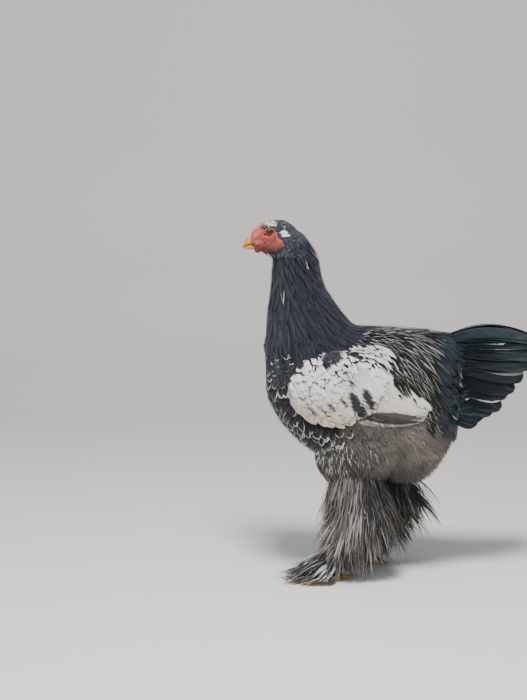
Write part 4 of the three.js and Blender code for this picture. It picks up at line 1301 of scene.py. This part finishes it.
# The fan's row holds an order from the top, then the tip's x, z and distance from the middle, and the lean.
TAIL_FAN = curve_through(
    [
        [0, 254, 430, 7, 0.5],
        [1, 254, 402, 22, 0.75],
        [2, 242, 371, 34, 0.95],
        [3, 221, 342, 43, 1.1],
        [4, 197, 314, 49, 1.2],
        [5, 168, 291, 52, 1.25],
        [6, 145, 273, 50, 1.25],
    ]
)
TAIL_LAYERS = [
    {"count": 11, "reach": 1.0, "width": 54, "out": 0},
    {"count": 11, "reach": 0.99, "width": 52, "out": 0.8},
    {"count": 12, "reach": 0.93, "width": 50, "out": 1.5},
    {"count": 12, "reach": 0.84, "width": 48, "out": 3.5},
    {"count": 12, "reach": 0.74, "width": 46, "out": 5.5},
    {"count": 12, "reach": 0.63, "width": 44, "out": 8},
    {"count": 12, "reach": 0.52, "width": 42, "out": 10},
    {"count": 12, "reach": 0.4, "width": 38, "out": 12},
]
tail_rng = np.random.default_rng(101)


def tail_layer(side, layer, count, reach, width, out):
    loose = 0 if reach == 1 else 0.3
    order = np.clip(np.linspace(0, 6, count) + tail_rng.uniform(-loose, loose, count), 0, 6)
    tip_x, tip_z, tip_y, lean = TAIL_FAN(order).T
    start = vectors(80 + 2 * order, side * (5 + 3.4 * order), 408 - 13 * order)
    end = vectors(tip_x, side * tip_y, tip_z)
    up = vectors(0, side * np.sin(lean), np.cos(lean))
    way = (end - start) * reach * tail_rng.uniform(0.9, 1.0, (count, 1)) + up * out
    return {
        "root": start,
        "way": way,
        "up": up - side * 0.1 * np.cross(up, unit(way)),
        "width": width * tail_rng.uniform(0.92, 1.05, count) - 1.0 * order,
        "bow": 0.13 - 0.015 * order,
        "place": row_places(count, side, layer, len(TAIL_LAYERS)),
    }


tail = gathered([tail_layer(side, i, **form) for i, form in enumerate(TAIL_LAYERS) for side in SIDES])
count = len(tail["root"])
shade = shades(tail_rng, count)
length = np.linalg.norm(tail["way"], axis=1)
sag = tail_rng.uniform(0.02, 0.1, (count, 1, 1))
path = flown(tail["root"], tail["way"], length, 16, tail["up"], sag=sag, bow=tail["bow"][:, None, None])
edged = tail_rng.uniform(size=count) < 0.06
tint = shade((0.009, 0.013, 0.016), 0.6)
rim = chosen(edged, shade((0.5, 0.5, 0.46), 0.2), shade((0.022, 0.036, 0.042), 0.4))
mesh = feathers(
    path, tail["width"], "round", tail["place"], (tint, rim, 0.045), seed=103, columns=11, camber=0.22,
    ragged=0.012, patch=0.03,
)
dressed("tail_feathers", mesh, tail_material)


# Boots
# Long loose feathers hang in a bell round each shank, from under the thigh almost to the ground. They are
# pale and grey in front, with black vanes edged white behind, and painted darker at the top as shade under
# the thigh.
BOOT_TIERS = [
    {"height": 188, "ring": 32, "count": 26, "length": 84, "flare": 0.3},
    {"height": 176, "ring": 26, "count": 30, "length": 98, "flare": 0.55},
    {"height": 162, "ring": 18, "count": 32, "length": 106, "flare": 0.9},
    {"height": 144, "ring": 12, "count": 32, "length": 102, "flare": 1.15},
    {"height": 123, "ring": 9, "count": 30, "length": 94, "flare": 1.2},
    {"height": 100, "ring": 8, "count": 28, "length": 82, "flare": 1.2},
    {"height": 76, "ring": 8, "count": 26, "length": 68, "flare": 1.2},
    {"height": 54, "ring": 8, "count": 22, "length": 50, "flare": 1.15},
    {"height": 34, "ring": 8, "count": 16, "length": 32, "flare": 1.0},
]
boot_rng = np.random.default_rng(111)


def reined(points):
    """Keeps loose feathers inside the model's width and off the floor."""
    wide = np.abs(points[..., 1])
    narrow = np.where(wide > 94, 94 + 11 * np.tanh((wide - 94) / 11), wide)
    points[..., 1] = np.sign(points[..., 1]) * narrow
    points[..., 2] = np.maximum(points[..., 2], 2.0)
    return points


def boot_tier(side, height, ring, count, length, flare):
    """One ring of feathers round a shank. They flare less between the legs than on the outside."""
    angle = (np.arange(count) + boot_rng.uniform(-0.3, 0.3, count)) * 2 * np.pi / count
    s = (150 - height) / 133
    lean = FOOT_X[side] - HOCK_X[side] if s > 0 else (HOCK_X[side] - THIGH_X[side]) * 3
    middle = np.array([HOCK_X[side] + s * lean, side * 55, height])
    out = vectors(np.cos(angle), np.sin(angle), 0)
    open_side = out[:, 0] * side > 0
    flares = flare * boot_rng.uniform(np.where(open_side, 0.75, 0.45), 1.12)
    ahead = np.where(open_side, 1.45, 1)
    aside = np.where(out[:, 1] * side < 0, 0.5, 0.6)
    root = middle + out * (1, 0.8, 0) * ring - DOWN * boot_rng.uniform(-8, 8, (count, 1))
    return {
        "root": root,
        "way": unit(vectors(out[:, 0] * flares * ahead, out[:, 1] * flares * aside, -1)),
        "up": out + (0, 0, 0.3),
        "length": length * boot_rng.uniform(0.72, 1.08, count),
        "rear": out[:, 0] + boot_rng.normal(0, 0.3, count) > (0.15 if side == LEFT else -0.2),
    }


BARBS = 13
FAN = 0.2
STEPS = 7
boot = gathered([boot_tier(side, **form) for side in SIDES for form in BOOT_TIERS])
many = {key: value.repeat(BARBS, 0) for key, value in boot.items()}
fan = np.tile(np.linspace(-1, 1, BARBS), len(boot["root"]))[:, None] * FAN
count = len(fan)
height = many["root"][:, 2]
across = np.cross(unit(many["up"]), many["way"])
way = many["way"] + across * (fan + boot_rng.normal(0, 0.04, fan.shape))
way = unit(way + boot_rng.normal(0, 0.035, (count, 3)))
length = many["length"] * (1 - 0.4 * np.abs(fan[:, 0] / FAN) ** 1.5) * boot_rng.uniform(0.8, 1.05, count)
bow = np.where(height > 150, 0.14, 0.1) * boot_rng.uniform(0.7, 1.2, count)
root = many["root"] + across * fan * np.clip(height[:, None] - 40, 8, 60)
root[:, 2] += boot_rng.uniform(-6, 10, count)
points, ups, sides = flown(root, way, length, STEPS, many["up"], sag=0.16, bow=bow[:, None, None])
start_of_wave = boot_rng.uniform(0, 6.28, (len(boot["root"]), 1))
wave = np.sin(np.linspace(0, 6, STEPS)[None, :] + start_of_wave).repeat(BARBS, 0)
points = points + sides * (wave * np.linspace(0, 3.2, STEPS)[None, :])[..., None]
chance = boot_rng.uniform(size=len(boot["root"]))
dark = (np.where(boot["rear"], 0.62, 0.22) > chance).repeat(BARBS)
grey = (chance > 0.72).repeat(BARBS)
shade = shades(boot_rng, count)
tint = chosen(grey, shade((0.24, 0.215, 0.19), 0.35), shade((0.56, 0.525, 0.465), 0.35))
tint = chosen(dark, shade((0.035, 0.034, 0.038), 0.4), tint)
# Painted shade: the feathers are darker the higher they start, under the thigh.
tint = tint * np.interp(height, (135, 180), (0.9, 0.4))[:, None]
width = 2.7 * boot_rng.uniform(0.6, 1.3, count)
mesh = barbs((reined(points), ups, sides), width, leg_place(many["root"]), tint, 1.2, 113)
dressed("boot_feathers", mesh, fluff_material)

picked = np.flatnonzero(boot["rear"] & (boot["root"][:, 2] > 45))[::2]
vane = {key: value[picked] for key, value in boot.items()}
count = len(picked)
shade = shades(boot_rng, count)
way = vane["way"] + boot_rng.normal(0, 0.08, (count, 3))
length = vane["length"] * boot_rng.uniform(0.8, 0.98, count)
points, ups, sides = flown(vane["root"], way, length, 8, vane["up"], sag=0.14, bow=0.13)
tint = shade((0.03, 0.03, 0.034), 0.4)
rim = shade((0.55, 0.53, 0.48), 0.3)
width = boot_rng.uniform(7, 11, count)
colors = (tint, rim, boot_rng.uniform(0.15, 0.4, count))
path = (reined(points), ups, sides)
mesh = feathers(path, width, "point", leg_place(vane["root"]), colors, seed=115, ragged=0.08, tips=0.4)
dressed("boot_vanes", mesh, back_material)


# Toe feathers
# Stiffer black and white feathers start at the ankle and the outer toes, and spread forward and down to the
# floor.
toe_rng = np.random.default_rng(121)


def toe_spray(side, count=96):
    high = toe_rng.uniform(0, 1, count) ** 1.3
    turn = toe_rng.uniform(-0.5, 1.45, count)
    out = vectors(-np.cos(turn), side * np.sin(turn), 0)
    ankle = np.array([FOOT_X[side], side * 57, 8])
    start = ankle + out * (34 - 24 * high[:, None]) * toe_rng.uniform(0.4, 1, (count, 1))
    start[:, 2] += 42 * high
    return {
        "root": start,
        "way": out + vectors(0, 0, 0.1 - 0.65 * high * toe_rng.uniform(0.7, 1.1, count)),
        "length": toe_rng.uniform(54, 86, count) * (1 - 0.28 * np.clip(turn, 0, 1)),
        "width": toe_rng.uniform(8, 13, count),
    }


toe = gathered([toe_spray(side) for side in SIDES])
count = len(toe["root"])
shade = shades(toe_rng, count)
up = unit(np.array([[0, 0, 1.0]]) - 0.2 * unit(toe["way"]) + toe_rng.normal(0, 0.15, (count, 3)))
points, ups, sides = flown(toe["root"], toe["way"], toe["length"], 9, up, sag=0.12, bow=0.08)
bright = toe_rng.uniform(size=count) < 0.27
tint = chosen(bright, shade((0.72, 0.7, 0.66), 0.15), shade((0.022, 0.025, 0.034), 0.4))
rim = chosen(bright, shade((0.05, 0.05, 0.06), 0.3), shade((0.55, 0.55, 0.54), 0.3))
colors = (tint, rim, toe_rng.uniform(0.1, 0.35, count))
path = (reined(points), ups, sides)
mesh = feathers(path, toe["width"], "point", leg_place(toe["root"]), colors, seed=123, tips=0.5)
dressed("toe_feathers", mesh, back_material)


# Feet
# Yellow toes with overlapping scutes along their tops and small pads below, each ending in a curved claw.
TOES = {
    "middle": {"turn": 0.0, "length": 74, "radius": 5.6},
    "inner": {"turn": 0.62, "length": 58, "radius": 5.2},
    "outer": {"turn": -0.6, "length": 62, "radius": 5.2},
    "hind": {"turn": math.pi - 0.35, "length": 30, "radius": 4.6},
}
UP = np.array([0, 0, 1])
SCUTE = 5.2
PAD = 17


def lowest(grid, floor):
    grid[..., 2] = np.maximum(grid[..., 2], floor)
    return grid


def toe_grid(ball, way, length, radius):
    s = np.linspace(0.02, 1, 64)
    angle = full_turn(20)
    top = np.clip(np.sin(angle), 0, 1)[None, :] ** 0.5
    under = np.clip(-np.sin(angle), 0, 1)[None, :]
    thick = radius * (1 - 0.32 * s)
    step = ((s * (length / SCUTE)) % 1)[:, None]
    pads = 1 + 0.08 * np.sin(s * 2 * np.pi * length / PAD)[:, None] * under
    rings = thick[:, None] * pads + 0.75 * (step**2 * top - 0.3 * top)
    level = thick - 0.9 + 3.5 * (1 - s) ** 2
    line = ball + way * (length * s)[:, None] + UP * level[:, None]
    return lowest(tube_grid(line, rings, 20), 0)


def claw_grid(ball, way, length, radius):
    s = np.linspace(0, 1, 16)
    line = ball + way * (length - 3 + 17 * s)[:, None]
    line[:, 2] = radius * 0.62 + 0.6 + 1.6 * np.sin(s * 2.2) - 2.9 * s**2
    return lowest(tube_grid(line, radius * 0.6 * (1.04 - s**1.4) + 0.15, 14), 0.4)


def ankle_grid(ball):
    s = np.linspace(0, 1, 14)
    line = ball + vectors(3 * (1 - s), 0, 30 * (1 - s))
    return lowest(tube_grid(line, 9.2 + 1.8 * s, 24, square=(1, 0, 0)), 0)


foot_material = tint_material("toe_skin", 0.5, gloss(0.0))
for side, name in SIDE_NAMES.items():
    ball = np.array([FOOT_X[side], side * 57, 0.0])
    toes, claws = [], []
    for form in TOES.values():
        way = np.array([-math.cos(form["turn"]), -side * math.sin(form["turn"]), 0])
        toes.append(toe_grid(ball, way, form["length"], form["radius"]))
        claws.append(claw_grid(ball, way, form["length"], form["radius"]))
    mesh = tubes_mesh("toes", [*toes, ankle_grid(ball)])
    p = points_of(mesh)
    # The toes are darker towards the bottom, where they meet the floor.
    darker_below = ramp(p[:, 2], 5, -1) * 0.4
    color = mix(mottled((0.5, 0.33, 0.09), p, 0.25, 9, 12), (0.2, 0.16, 0.12), darker_below)
    paint(mesh, "tint", np.clip(color, 0, 1))
    foot = dressed("toes_" + name, mesh, foot_material)
    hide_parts("foot_" + name)
    mesh = tubes_mesh("claws", claws)
    paint(mesh, "tint", mottled((0.42, 0.3, 0.15), points_of(mesh), 0.2, 6, 13))
    claw = dressed("claws_" + name, mesh, horn_material)
    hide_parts(*("claw_" + toe + "_" + name for toe in TOES))
